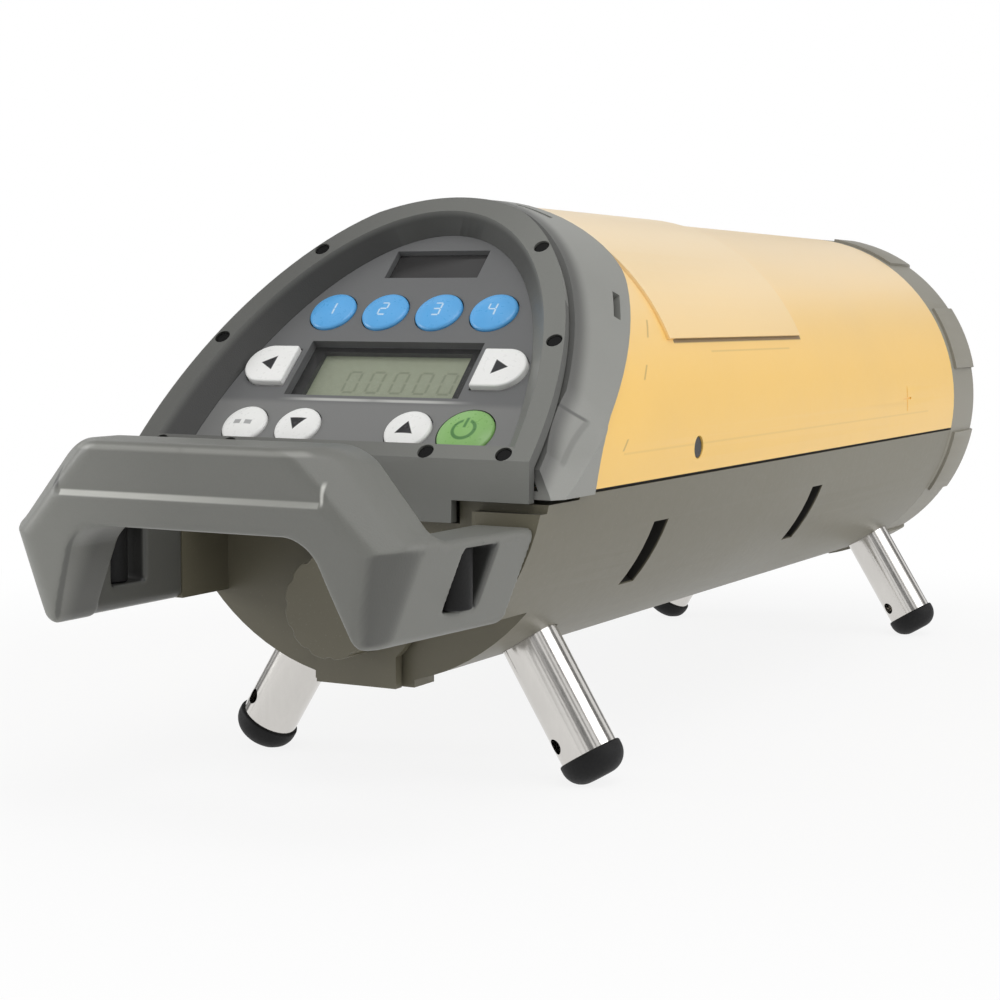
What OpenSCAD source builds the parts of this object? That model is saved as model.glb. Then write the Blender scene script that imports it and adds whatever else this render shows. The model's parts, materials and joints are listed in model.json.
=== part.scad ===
// Pipe laser: a levelling laser in a round body that lies in a pipe on four screw-in legs.
// +Y is the way the beam leaves, -Y is the control end, +Z is up, and z = 0 is the floor.
// Every sub-part is drawn about the body's axis and then lifted to axis_h above the floor.

/* [Body] */
// Outer diameter of the two body shells
body_d = 122; // [118:1:128]
// Wall thickness of the body shells
body_wall = 3; // [2:0.25:4]
// Length of the body from its rear wall to the front seam
body_l = 324; // [320:1:380]
// How far the parting line lies below the body's axis
parting_drop = 10.5; // [8:0.25:12]
// Thickness of the strip in the parting line
gasket_t = 0.8; // [0.4:0.1:1.5]
// Thickness of the rear end wall
rear_wall = 4; // [3:0.5:6]

/* [Top cover] */
// Length of the raised pad along the cover
pad_l = 102; // [60:1:140]
// Half angle of the raised pad, seen along the axis
pad_half_angle = 65.5; // [40:0.5:75]
// How far the pad stands proud of the cover
pad_rise = 1; // [0.5:0.1:2]
// Distance of the seam's upper end from the rear wall
seam_top_in = 65; // [60:1:74]
// Distance of the seam's lower end from the rear wall
seam_low_in = 4; // [2:1:10]

/* [Control end] */
// How far the control housing stands proud of the body
head_rise = 2; // [1:0.25:5]
// Slope of the control panel from the horizontal
panel_slope = 44; // [42:0.5:47]
// How far the rear lip stands behind the rear wall
lip_reach = 20; // [18:0.5:22]
// Height of the lip's crease under the body's axis
crease_drop = 1.8; // [1:0.2:2.6]
// How far the lip's lower edge lies under the body's axis
lip_low = 11.6; // [11.2:0.1:11.8]
// Thickness of the panel frame's plate
frame_t = 3; // [2.4:0.2:3.6]
// How far the panel frame's sides lie inside the control housing's radius
frame_in = 6.6; // [6:0.2:7.4]
// Width of the frame's rim beside the recess
rim_w = 5.4; // [5:0.2:6.4]
// Width of the frame's rim above the recess
rim_top_w = 7; // [6:0.5:9]
// Depth of the recess that holds the control panel
recess_depth = 6.2; // [5:0.2:7]
// Thickness of the control panel
panel_t = 2.5; // [2:0.25:3]
// Groove between the panel frame and the control housing
groove_w = 1; // [0.6:0.1:1.4]

/* [Keys] */
// Diameter of the four function keys
function_key_d = 13; // [10:0.5:14]
// Distance between neighbouring function keys
function_pitch = 16; // [15.8:0.1:16.4]
// Diameter of the mode, down and up keys
small_key_d = 12.5; // [10:0.5:12.5]
// Diameter of the power key
power_key_d = 15; // [12:0.5:15]
// Width and height of the left and right keys
side_key_w = 13.4; // [11:0.2:13.6]
// Height of the left and right keys along the slope
side_key_h = 13; // [11:0.2:13.4]
// How far the keys stand proud of the panel
key_rise = 1.6; // [1.3:0.1:2.4]
// Travel of a key
key_travel = 1.2; // [0.6:0.1:1.4]

/* [Display] */
// Width of the display opening
display_w = 51; // [44:0.5:51.5]
// Height of the display opening along the slope
display_h = 19.4; // [16:0.2:20]
// Width of the sensor window
sensor_w = 28; // [20:0.5:28]
// Height of the sensor window along the slope
sensor_h = 10.4; // [8:0.4:10.4]

/* [Handle] */
// How far the handle's rear face stands behind the rear wall
handle_reach = 78; // [74:1:90]
// Depth of the handle's bar along the body
bar_depth = 22; // [18:0.5:24]
// How far the ends of the bar's flat top lie inside the body's radius
bar_top_in = 25; // [23:0.5:29]
// Height of the bar's top above the body's axis
bar_top = 3.6; // [1:0.2:5]
// How far the handle's widest corner lies inside the body's radius
handle_in = 6.5; // [5:0.5:8]
// How far the widest corner lies under the body's axis
corner_drop = 18.5; // [18:0.5:20]
// How far the handle's lower edge lies under the body's axis
handle_drop = 40; // [38:0.5:42]
// How far the finger gap's upper corners lie inside the body's radius
gap_in = 30; // [28:0.5:36]
// How far the finger gap's top lies under the body's axis
gap_top_drop = 15.9; // [15:0.1:18]
// Length of the window in each arm along the body
window_l = 12.8; // [10:0.2:14]
// Height of the window in each arm
window_h = 14.4; // [10:0.2:15]
// Diameter of the strap post in each window
post_d = 9.6; // [6:0.2:10]

/* [Legs] */
// Angle of the legs from straight down
leg_angle = 31.5; // [30:0.5:34]
// How far the tip of a foot stands out from the body
leg_reach = 39.5; // [33:0.5:69]
// Diameter of a leg
leg_d = 15.5; // [12:0.5:16]
// Diameter of a leg's threaded stud
stud_d = 8; // [6:0.5:8]
// Length of a leg's threaded stud
stud_l = 12; // [8:0.5:12]
// Diameter of a rubber foot
foot_d = 17; // [16.5:0.5:20]
// Length of a rubber foot
foot_l = 7; // [6.5:0.5:12]
// Distance of the rear legs in front of the rear wall
leg_rear_in = 30; // [24:0.5:40]
// Distance of the front legs behind the front seam
leg_front_in = 10; // [9.8:0.2:14]

/* [Front cap] */
// Length of the front cap
cap_l = 34; // [30:0.5:45]
// Height of the bumper pads on the front cap
bumper_rise = 1; // [0.5:0.1:2.5]
// Number of bumper pads round the cap
bumper_count = 8; // [4:1:12]
// Width of the cap's front rim round the opening for the beam
cap_rim_w = 20; // [19:0.5:21]
// Thickness of the window glass
glass_t = 4; // [3:0.5:5]

/* [Battery] */
// Diameter of one cell
cell_d = 26.2; // [22:0.1:26.2]
// Length of one cell
cell_l = 50; // [44:0.5:50]
// Number of cells in the row
cell_count = 4; // [2:1:4]
// Diameter of the battery lock knob
knob_d = 26; // [18:0.5:30]
// How far the lock knob stands behind the end plate
knob_reach = 12; // [6:0.5:14]

/* [Laser stage] */
// Distance of the tilt centre behind the front seam
pivot_back = 60; // [58:0.5:62]
// Diameter of the laser barrel
barrel_d = 22; // [18:0.5:22]
// Module of the gears
gear_module = 0.8; // [0.8:0.1:0.9]
// Teeth on a whole line gear, of which the sector is a slice
line_teeth = 90; // [86:1:92]
// Teeth on the line pinion
line_pinion_teeth = 16; // [15:1:17]
// Teeth on a whole grade gear, of which the sector is a slice
grade_teeth = 60; // [58:1:62]
// Teeth on the grade pinion
grade_pinion_teeth = 15; // [15:1:16]

/* [Hidden] */
$fn = 72;
// Overrun of a cut past the face it opens
over = 1;
// Gap between pieces that are put together and stay
fit_gap = 0.1;
// Gap between a key and its hole, and between other sliding pieces
slide_gap = 0.3;
// Radial gap of a running shaft or stud in its bore
run_gap = 0.05;
// Arc steps on a rounded corner of an outline
arc_steps = 6;
// Larger than the whole object, for half spaces
far = body_l + handle_reach + cap_l;

// Places along the body
total_l = cap_l + body_l + handle_reach;
seam_y = total_l / 2 - cap_l;
rear_y = seam_y - body_l;
seam_top_back = body_l - seam_top_in;
seam_low_back = body_l - seam_low_in;
handle_y = rear_y - handle_reach;
lip_y = rear_y - lip_reach;
pivot_y = seam_y - pivot_back;
leg_ys = [rear_y + leg_rear_in, seam_y - leg_front_in];

// Radii and heights
body_r = body_d / 2;
bore_r = body_r - body_wall;
head_r = body_r + head_rise;
head_d = 2 * head_r;
head_wall = body_wall;
leg_tip_r = body_r + leg_reach;
foot_round = 5.5;
foot_flat = 0.4;
axis_h = (leg_tip_r - foot_round) * cos(leg_angle) + (foot_d / 2 - foot_round) * sin(leg_angle)
    + foot_round - foot_flat;
low_z = -parting_drop - gasket_t / 2;
high_z = -parting_drop + gasket_t / 2;

// Lower housing
shelf_reach = 16.5;
shelf_t = 4;
shelf_gap = 0.4;
lip_step = 5.4;
lip_mid_half_w = 36;
cheek_reach = 20;
cheek_w = 19.5;
cheek_in_x = body_r - cheek_w;
side_slot_w = 9.5;
side_slot_depth = 3.4;
side_slot_back_wall = 2;
side_slot_angles = [111, 130];
side_slot_in = 56.5;
side_slot_backs = [body_l - side_slot_in, 142.5];
rail_w = 12;
rail_in_x = bore_r - rail_w;
rail_t = 3;
lug_r = 5;
lug_l = 12;
cap_lug_angles = [50, 105];
cap_screw_d = 3.6;
cap_screw_head_d = 6.4;
cap_screw_head_t = 3.4;
cap_screw_in = 8;
cap_screw_circle_r = body_r - cap_screw_in;

// Cover screws and the cross mark
cover_screw_in = 72;
cover_screw_back = body_l - cover_screw_in;
cover_screw_drop = 3.4;
cover_screw_d = 4;
cover_head_d = 6;
cover_head_t = 1.8;
cover_lug_w = 12;
cover_lug_top = 3;
mark_l = 9;
mark_w = 0.7;
mark_depth = 0.5;
mark_rise = 3;
pad_rear_gap = 3;

// Seam between the cover and the control housing
seam_gap = 0.5;
seam_low_z = 1;
seam_top_z = 49;
seam_low_round = 22;
seam_top_round = 26;

// Control housing
head_margin = 0.9;
head_top_margin = 2.5;
flare_share = 0.6;
scoop_r = 60;
scoop_depth = 1.1;
scoop_ahead = 15.5;
scoop_rise = 9.2;
scoop_inset = 7.3;
scoop_dir = [0.866, -0.31, 0.39];
slot_l = 11;
slot_w = 2.2;
slot_depth = 4.2;
slot_top_depth = 2;
slot_ahead = 7;
slot_angles = [56, 17];
floor_l = 13;
floor_t = 2;

// Panel frame
lip_t = 2.6;
tub_wall = 1.4;
arch_v = 0.8;
recess_low_v = 4.4;
foot_low_v = 5.2;
draft_side = 5.4;
draft_top = 3;
frame_top_over = 1.05;
frame_half_w = head_r - frame_in;
frame_arch_h = (head_r + crease_drop + frame_top_over) / sin(panel_slope) - arch_v;
recess_half_w = frame_half_w - rim_w;
recess_arch_h = frame_arch_h - rim_top_w;
foot_half_w = recess_half_w - draft_side;
foot_arch_h = recess_arch_h - draft_top;
frame_screw_d = 2;
frame_head_d = 4;
frame_head_t = 1.8;
frame_post_d = 3.4;
frame_post_l = 9;
frame_screws_uv = [[33, 73.3], [48.7, 39.5], [49, 2], [28.2, 2]];

// Control panel: places across (u) and up the slope (v) from the crease
function_v = 55.2;
display_v = 34.8;
side_key_u = 34.2;
low_row_v = 13.8;
small_key_u = 16;
outer_key_u = 32;
sensor_v = 73.6;
key_flange = 1.1;
key_flange_t = 1.15;
key_dome_r = 22;
mat_gap = 0.2;
mat_t = 1;
board_t = 1.6;
board_half_w = 42;
board_low_v = 5;
board_high_v = 64.4;
glass_drop = 1.3;
display_glass_t = 1;
lcd_frame_w = 3.4;
lcd_pocket = 1.8;
sensor_drop = 1.5;
sensor_flange = 0.8;
sensor_t = 1.2;
standoff_d = 4;
standoffs_uv = [[40.4, 24.3], [17.5, 65.2]];
panel_z = -recess_depth;
panel_back_z = panel_z - panel_t;
mat_z = panel_back_z - key_flange_t - run_gap - key_travel - mat_gap;
board_z = mat_z - mat_t;

// Handle
bar_corner_r = 5;
bar_edge_r = 3;
widest_r = 6;
lower_r = 4;
gap_r = 6;
arm_root_in = 2.5;
arm_low_in = 11.4;
gap_low_in = 20.8;
post_in = 13;
bar_top_half_w = body_r - bar_top_in;
handle_half_w = body_r - handle_in;
gap_top_half_w = body_r - gap_in;
gap_low_half_w = body_r - gap_low_in;
arm_root_half_w = body_r - arm_root_in;
arm_low_half_w = body_r - arm_low_in;
bar_low_half_w = handle_half_w - arm_root_half_w + arm_low_half_w;
arm_top_drop = 17;
arm_turn = atan((arm_root_half_w - handle_half_w) / (handle_reach - cheek_reach - bar_depth / 2));
bevel_l = 10.5;
bevel_w = 8.7;
bar_lean_drop = 8.4;
bar_lean_l = 7.1;
ledge_depth = 1.8;
ledge_low_drop = 8.2;
ledge_top_drop = 1;
ledge_in = 1;
ledge_half_w = bar_top_half_w - ledge_in;
window_front = 15.2;
window_drop = 19.4;
post_x = body_r - post_in;
handle_screw_d = 4;
handle_head_d = 6.4;
handle_head_t = 3;
handle_screw_grip = 9;
handle_screws_in = [14, 17];
handle_screws_drop = [23.5, 31];
handle_screws_xz = [for (i = [0, 1]) [body_r - handle_screws_in[i], -handle_screws_drop[i]]];

// Legs
boss_d = 19;
boss_l = 13.2;
bush_d = 13;
seat_depth = 0.6;
seat_r = body_r - seat_depth;
bush_l = stud_l + over;
foot_peg_d = 11;
foot_floor = 4;
leg_hole_d = 4.2;
leg_hole_up = 5;
leg_hole_turn = 37;

// Front cap
cap_wall = 5;
cap_edge_r = 7;
spigot_l = 6;
spigot_t = 3;
bumper_share = 0.5;
cap_d = body_d;
aperture_d = cap_d - 2 * cap_rim_w;
glass_edge = 4;
glass_d = aperture_d + 2 * glass_edge;
seal_t = 1.2;
bezel_d = glass_d + 2 * glass_edge;
bezel_t = 5;
bezel_proud = 1;
bezel_notch_w = 6;
bezel_notch_depth = 2;
glass_seat_y = seam_y + cap_l - bezel_t - glass_t - seal_t;

// Battery
sleeve_t = 1.5;
holder_wall = 1.6;
holder_r = cell_d / 2 + fit_gap * 2 + holder_wall;
sleeve_in_r = holder_r + slide_gap;
sleeve_r = sleeve_in_r + sleeve_t;
battery_in = 21;
battery_drop = body_r - battery_in;
battery_clear = 1.3;
rail_drop = battery_drop - sleeve_r - battery_clear;
plate_edge = 0.8;
plate_r = sleeve_r + plate_edge;
plate_t = 3;
plate_gap = 1.2;
tab_half_w = 11.6;
tab_proud = 0.2;
heel_half_w = 14.6;
heel_l = 10;
battery_seal_t = 0.9;
contact_t = 2;
cells_rear = 6;
cells_y = rear_y + cells_rear;
cells_front_y = cells_y + cell_count * cell_l;
sleeve_front_y = cells_front_y + contact_t + slide_gap + holder_wall + slide_gap;
nub_d = 9;
nub_l = 1.6;
knob_shaft_d = 7;
knob_gap = 0.4;
knob_flute_d = 4;
knob_flute_depth = 0.6;
knob_flutes = 12;

// Chassis and boards
chassis_edge = 8;
chassis_half_w = bore_r - chassis_edge;
chassis_t = 3;
chassis_rear_in = 40;
chassis_front_in = 16;
stage_window_half_w = 30;
stage_window_rear = 55;
bridge_half_l = 12;
bridge_t = 4;
bridge_drop = 30;
bridge_leg_t = 4;
board_post_d = 6;
board_post_h = 3;
board_edge = 16;
main_board_half_w = bore_r - board_edge;
main_board_l = 120;
main_board_rear = 18;
chip_h = 5;
chip_shares = [[0.3, 0.25, 0.22], [-0.35, 0.4, 0.18], [0.1, 0.75, 0.3]];

// Laser stage
grade_up = 21.8;
grade_down = 8.5;
barrel_rear = 52;
barrel_front = 42;
barrel_wall = 2;
trunnion_d = 5;
cheek_gap = 4;
cheek_t = 4;
cheek_half_l = 8;
cheek_top = 8;
yoke_base_drop = 18.5;
yoke_base_t = 3.5;
yoke_stud_d = 8;
bearing_d = 13;
sector_t = 3.5;
line_sector_drop = 10.5;
line_sector_half = 17;
motor_d = 16;
motor_l = 22;
motor_gap = 1;
motor_post_d = 4;
motor_post_off = 13;
line_shaft_d = 3;
grade_motor_d = 12;
grade_motor_l = 24;
grade_shaft_d = 2.6;
sector_gap = 1.2;
sector_web_half = 8;
sector_hub_d = 12;
level_w = 9;
level_l = 20;
level_low = 5;
level_high = 10;
diode_l = 12;
lens_t = 5;
lens_seat = 3;
pressure_angle = 20;
backlash = 0.16;
tooth_tip_share = 0.8;
tooth_root_share = 1.1;
flank_steps = 4;
cheek_in = barrel_d / 2 + cheek_gap;
cheek_out = cheek_in + cheek_t;
chassis_top = -rail_drop + chassis_t;
line_gear_r = gear_module * line_teeth / 2;
line_pinion_r = gear_module * line_pinion_teeth / 2;
grade_gear_r = gear_module * grade_teeth / 2;
grade_pinion_r = gear_module * grade_pinion_teeth / 2;
line_pinion_x = -(line_gear_r + line_pinion_r);
grade_pinion_z = grade_gear_r + grade_pinion_r;

// Points of an outline whose corners are rounded by the radii given
function unit(v) = v / norm(v);
function corner_arc(a, p, b, r) = let (
        u = unit(a - p),
        w = unit(b - p),
        half = acos(u * w) / 2,
        c = p + unit(u + w) * r / sin(half),
        s = p + u * r / tan(half) - c,
        e = p + w * r / tan(half) - c,
        turn = atan2(s.x * e.y - s.y * e.x, s * e))
    [for (k = [0 : arc_steps]) let (q = turn * k / arc_steps)
        c + [s.x * cos(q) - s.y * sin(q), s.x * sin(q) + s.y * cos(q)]];
function rounded(points, radii) = let (n = len(points))
    [for (i = [0 : n - 1]) each radii[i] == 0 ? [points[i]]
        : corner_arc(points[(i + n - 1) % n], points[i], points[(i + 1) % n], radii[i])];
function mirrored(points) = concat(points, [for (i = [len(points) - 1 : -1 : 0]) [-points[i].x, points[i].y]]);

// Arch of the panel: an ellipse over a straight lower edge, with straight sides below its middle
function arch(half_w, h, low_v) = let (
        n = 10 * arc_steps,
        start = low_v > arch_v ? asin((low_v - arch_v) / h) : 0,
        oval = [for (k = [0 : n]) let (t = start + (180 - 2 * start) * k / n)
            [half_w * cos(t), arch_v + h * sin(t)]])
    low_v > arch_v ? oval : concat(oval, [[-half_w, low_v], [half_w, low_v]]);

// Seam line from below the parting line to above the body, in (y, z)
function seam_line(shift) = let (
        low = seam_y - seam_low_back + shift,
        top = seam_y - seam_top_back + shift,
        p = [[low, -body_r], [low, seam_low_z], [top, seam_top_z], [top, body_d]])
    concat([p[0]], corner_arc(p[0], p[1], p[2], seam_low_round),
        corner_arc(p[1], p[2], p[3], seam_top_round), [p[3]]);

module on_axis() {
    translate([0, 0, axis_h])
        children();
}

module rod_y(r, y0, y1) {
    translate([0, y0, 0])
        rotate([-90, 0, 0])
            cylinder(r = r, h = y1 - y0);
}

module ring_y(r_out, r_in, y0, y1) {
    difference() {
        rod_y(r_out, y0, y1);
        rod_y(r_in, y0 - over, y1 + over);
    }
}

module box(low, high) {
    translate(low)
        cube(high - low);
}

// Extrudes a (y, z) outline along X over the given half width
module side_slab(points, half_w) {
    translate([-half_w, 0, 0])
        rotate([90, 0, 90])
            linear_extrude(2 * half_w)
                polygon(points);
}

// Extrudes an (x, z) outline along Y
module rear_slab(points, y0, y1) {
    translate([0, y1, 0])
        rotate([90, 0, 0])
            linear_extrude(y1 - y0)
                polygon(points);
}

// Half space above or below a height
module above(z) {
    box([-far, -far, z], [far, far, far]);
}

module below(z) {
    box([-far, -far, -far], [far, far, z]);
}

// Frame of the control panel: x across, y up the slope, z out of the panel, from the crease
module on_panel() {
    translate([0, lip_y, axis_h - crease_drop])
        rotate([panel_slope, 0, 0])
            children();
}

// The same frame for shapes that are drawn about the body's axis
module on_slope() {
    translate([0, lip_y, -crease_drop])
        rotate([panel_slope, 0, 0])
            children();
}

// Frame of a leg: z runs out along the leg from the body's axis
module on_leg(side, y) {
    translate([0, y, 0])
        rotate([0, side * (180 - leg_angle), 0])
            children();
}

module each_leg() {
    for (side = [-1, 1], y = leg_ys)
        on_leg(side, y)
            children();
}

// Wedge about the body's axis between two angles from straight up, on the +X side
module wedge(a0, a1, r, y0, y1) {
    rear_slab(concat([[0, 0]], [for (k = [0 : arc_steps]) let (a = a0 + (a1 - a0) * k / arc_steps)
        r * [sin(a), cos(a)]]), y0, y1);
}

module both_sides() {
    children();
    mirror([1, 0, 0])
        children();
}

module cap_screw_places(angles) {
    for (a = angles, side = [-1, 1])
        translate([side * cap_screw_circle_r * sin(a), 0, cap_screw_circle_r * cos(a)])
            children();
}

module frame_screw_places() {
    for (uv = frame_screws_uv, side = [-1, 1])
        translate([side * uv.x, uv.y, 0])
            children();
}

// One gear as an extruded involute outline; only the teeth in [first, last] are drawn
module gear_outline(teeth, first, last) {
    r = gear_module * teeth / 2;
    base = r * cos(pressure_angle);
    tip = r + gear_module * tooth_tip_share;
    root = r - gear_module * tooth_root_share;
    low = max(base, root);
    function inv(a) = tan(a) * 180 / PI - a;
    half_pitch = 90 / teeth - backlash / (2 * r) * 180 / PI;
    function half_at(q) = half_pitch + inv(pressure_angle) - inv(acos(min(1, base / q)));
    flank = [for (k = [0 : flank_steps]) low + (tip - low) * k / flank_steps];
    step = 360 / teeth;
    polygon([for (i = [first : last]) each concat(
        [root * [cos(i * step - half_at(low)), sin(i * step - half_at(low))]],
        [for (q = flank) q * [cos(i * step - half_at(q)), sin(i * step - half_at(q))]],
        [for (k = [flank_steps : -1 : 0]) let (q = flank[k])
            q * [cos(i * step + half_at(q)), sin(i * step + half_at(q))]],
        [root * [cos(i * step + half_at(low)), sin(i * step + half_at(low))]])]);
}

module sector(teeth, half_angle, inner_r) {
    count = ceil(half_angle * teeth / 360);
    r = gear_module * teeth / 2;
    root = r - gear_module * tooth_root_share;
    edge = count * 360 / teeth + 90 / teeth;
    difference() {
        union() {
            gear_outline(teeth, -count, count);
            polygon(concat([[0, 0]], [for (k = [0 : 2 * arc_steps])
                let (a = -edge + edge * k / arc_steps) root * [cos(a), sin(a)]]));
        }
        circle(r = inner_r);
    }
}

// Body shells
module half_shell(y0, y1) {
    ring_y(body_r, bore_r, y0, y1);
}

module side_slots() {
    for (b = side_slot_backs)
        both_sides()
            intersection() {
                ring_y(body_r + over, body_r - side_slot_depth, seam_y - b - side_slot_w / 2,
                    seam_y - b + side_slot_w / 2);
                wedge(side_slot_angles[0], side_slot_angles[1], body_d, -far, far);
            }
}

module side_slot_backs_in() {
    for (b = side_slot_backs)
        both_sides()
            intersection() {
                ring_y(bore_r + over, body_r - side_slot_depth - side_slot_back_wall,
                    seam_y - b - side_slot_w / 2 - side_slot_back_wall,
                    seam_y - b + side_slot_w / 2 + side_slot_back_wall);
                wedge(side_slot_angles[0] - side_slot_back_wall, side_slot_angles[1] + side_slot_back_wall,
                    body_d, -far, far);
            }
}

module shelf() {
    side_z = -lip_low - shelf_gap;
    mid_z = side_z - lip_step;
    difference() {
        intersection() {
            rod_y(body_r, rear_y - shelf_reach, rear_y + rear_wall);
            union() {
                box([-far, -far, side_z - shelf_t], [far, far, side_z]);
                box([-lip_mid_half_w - shelf_t, -far, mid_z - shelf_t],
                    [lip_mid_half_w + shelf_t, far, side_z]);
            }
        }
        box([-lip_mid_half_w - shelf_gap, -far, mid_z], [lip_mid_half_w + shelf_gap, rear_y - fit_gap, 0]);
    }
}

module cheeks() {
    both_sides()
        intersection() {
            rod_y(body_r, rear_y - cheek_reach, rear_y + rear_wall);
            box([cheek_in_x, -far, -handle_drop], [far, far, -lip_low - shelf_gap - shelf_t / 2]);
        }
}

module rails() {
    intersection() {
        rod_y(bore_r + body_wall / 2, rear_y + chassis_rear_in, seam_y - chassis_front_in);
        both_sides()
            box([rail_in_x, -far, -rail_drop - rail_t], [far, far, -rail_drop]);
    }
}

module cover_lugs() {
    y = seam_y - cover_screw_back;
    intersection() {
        rod_y(bore_r - fit_gap, y - cover_lug_w / 2, y + cover_lug_w / 2);
        both_sides()
            box([bore_r - cover_lug_w / 2, -far, -rail_drop], [far, far, cover_lug_top]);
    }
    intersection() {
        rod_y(bore_r + body_wall / 2, y - cover_lug_w / 2, y + cover_lug_w / 2);
        both_sides()
            box([bore_r - cover_lug_w / 2, -far, -rail_drop], [far, far, low_z]);
    }
}

module lower_housing() {
    color([0.45, 0.43, 0.38])
        on_axis()
            difference() {
                union() {
                    intersection() {
                        union() {
                            half_shell(rear_y, seam_y);
                            rod_y(body_r, rear_y, rear_y + rear_wall);
                            box([-heel_half_w, rear_y, -body_r - tab_proud],
                                [heel_half_w, rear_y + heel_l, -bore_r]);
                            side_slot_backs_in();
                        }
                        below(low_z);
                    }
                    shelf();
                    cheeks();
                    rails();
                    cover_lugs();
                    intersection() {
                        each_leg()
                            translate([0, 0, body_r - boss_l])
                                cylinder(d = boss_d, h = boss_l);
                        rod_y(body_r - fit_gap, -far, far);
                    }
                    intersection() {
                        cap_screw_places([cap_lug_angles[1]])
                            rod_y(lug_r, seam_y - lug_l, seam_y);
                        rod_y(bore_r + fit_gap, -far, far);
                        below(low_z);
                    }
                }
                side_slots();
                each_leg()
                    translate([0, 0, body_r - boss_l - over])
                        cylinder(d = bush_d, h = boss_l + 2 * over);
                each_leg()
                    translate([0, 0, seat_r])
                        cylinder(d = leg_d + 2 * slide_gap, h = body_r);
                translate([0, 0, -battery_drop])
                    rod_y(sleeve_r, rear_y - over, rear_y + rear_wall + over);
                for (xz = handle_screws_xz, side = [-1, 1])
                    translate([side * xz.x, 0, xz.y])
                        rod_y(handle_screw_d / 2 + fit_gap, rear_y - cheek_reach - over,
                            rear_y + rear_wall + over);
                cap_screw_places([cap_lug_angles[1]])
                    rod_y(cap_screw_d / 2 + fit_gap, seam_y - lug_l - over, seam_y + over);
                both_sides()
                    translate([0, seam_y - cover_screw_back, -cover_screw_drop])
                        rotate([0, 90, 0])
                            cylinder(d = cover_screw_d + 2 * fit_gap, h = far);
            }
}

module leg_bushes() {
    color([0.72, 0.58, 0.3])
        on_axis()
            each_leg()
                translate([0, 0, seat_r - bush_l])
                    difference() {
                        cylinder(d = bush_d - fit_gap, h = bush_l);
                        translate([0, 0, -over])
                            cylinder(d = stud_d + 2 * run_gap, h = bush_l + 2 * over);
                    }
}

module top_cover() {
    pad_y = seam_y - seam_top_back - pad_rear_gap;
    color([0.9, 0.68, 0.28])
        on_axis()
            difference() {
                union() {
                    intersection() {
                        union() {
                            half_shell(seam_y - seam_low_back, seam_y);
                            intersection() {
                                ring_y(body_r + pad_rise, bore_r, pad_y, pad_y + pad_l);
                                both_sides()
                                    wedge(0, pad_half_angle, 2 * body_d, -far, far);
                            }
                        }
                        above(high_z);
                        side_slab(concat(seam_line(seam_gap), [[far, body_d], [far, -body_r]]), far);
                    }
                    intersection() {
                        cap_screw_places([cap_lug_angles[0]])
                            rod_y(lug_r, seam_y - lug_l, seam_y);
                        rod_y(bore_r + fit_gap, -far, far);
                    }
                }
                cap_screw_places([cap_lug_angles[0]])
                    rod_y(cap_screw_d / 2 + fit_gap, seam_y - lug_l - over, seam_y + over);
                both_sides() {
                    translate([0, seam_y - cover_screw_back, -cover_screw_drop])
                        rotate([0, 90, 0])
                            cylinder(d = cover_screw_d + 2 * fit_gap, h = far);
                    translate([body_r - cover_head_t - fit_gap, seam_y - cover_screw_back, -cover_screw_drop])
                        rotate([0, 90, 0])
                            cylinder(d = cover_head_d + 2 * fit_gap, h = body_r);
                    box([body_r - mark_depth, pivot_y - mark_l / 2, mark_rise - mark_w / 2],
                        [body_d, pivot_y + mark_l / 2, mark_rise + mark_w / 2]);
                    box([body_r - mark_depth, pivot_y - mark_w / 2, mark_rise - mark_l / 2],
                        [body_d, pivot_y + mark_w / 2, mark_rise + mark_l / 2]);
                }
            }
}

module cover_gasket() {
    color([0.1, 0.1, 0.1])
        on_axis()
            intersection() {
                ring_y(body_r - gasket_t, bore_r + gasket_t / 2, seam_y - seam_low_back + seam_gap, seam_y);
                box([-far, -far, low_z], [far, far, high_z]);
            }
}

module cover_screws() {
    color([0.15, 0.15, 0.15])
        on_axis()
            both_sides()
                translate([body_r - cover_head_t, seam_y - cover_screw_back, -cover_screw_drop])
                    rotate([0, 90, 0]) {
                        cylinder(d = cover_head_d, h = cover_head_t - fit_gap * 4);
                        translate([0, 0, -cover_lug_w / 2])
                            cylinder(d = cover_screw_d, h = cover_lug_w / 2);
                    }
}

// Solid of the control housing: the head's cylinder, flaring from the groove round the panel frame
module head_body(wall) {
    h = head_d;
    start = wall > 0 ? over : 0;
    intersection() {
        rod_y(head_r - wall, -far, far);
        on_slope()
            translate([0, 0, start - frame_t - groove_w])
                mirror([0, 0, 1])
                    linear_extrude(h, scale = 1 + flare_share * h / frame_half_w)
                        polygon(arch(frame_half_w + head_margin - wall, frame_arch_h + head_top_margin - wall,
                            -frame_half_w));
    }
}

module head_rear_limit() {
    box([-far, lip_y + lip_t + groove_w, -far], [far, far, far]);
}

module head_seam_side() {
    line = seam_line(0);
    side_slab(concat(line, [[-far, body_d], [-far, -body_r]]), far);
}

// Narrow recess in the band's outer face, parallel to the seam, at an angle from straight up
module band_slot(a, depth) {
    z = head_r * cos(a);
    slope = (seam_low_back - seam_top_back) / (seam_top_z - seam_low_z);
    y = seam_y - seam_low_back + slope * (min(z, seam_top_z) - seam_low_z) - slot_ahead;
    turn = z < seam_top_z ? -atan(slope * sin(a)) : 0;
    rotate([0, a, 0])
        translate([0, y, head_r - depth])
            rotate([0, 0, turn])
                translate([-slot_l / 2, -slot_w / 2, 0])
                    cube([slot_l, slot_w, depth + over]);
}

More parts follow.
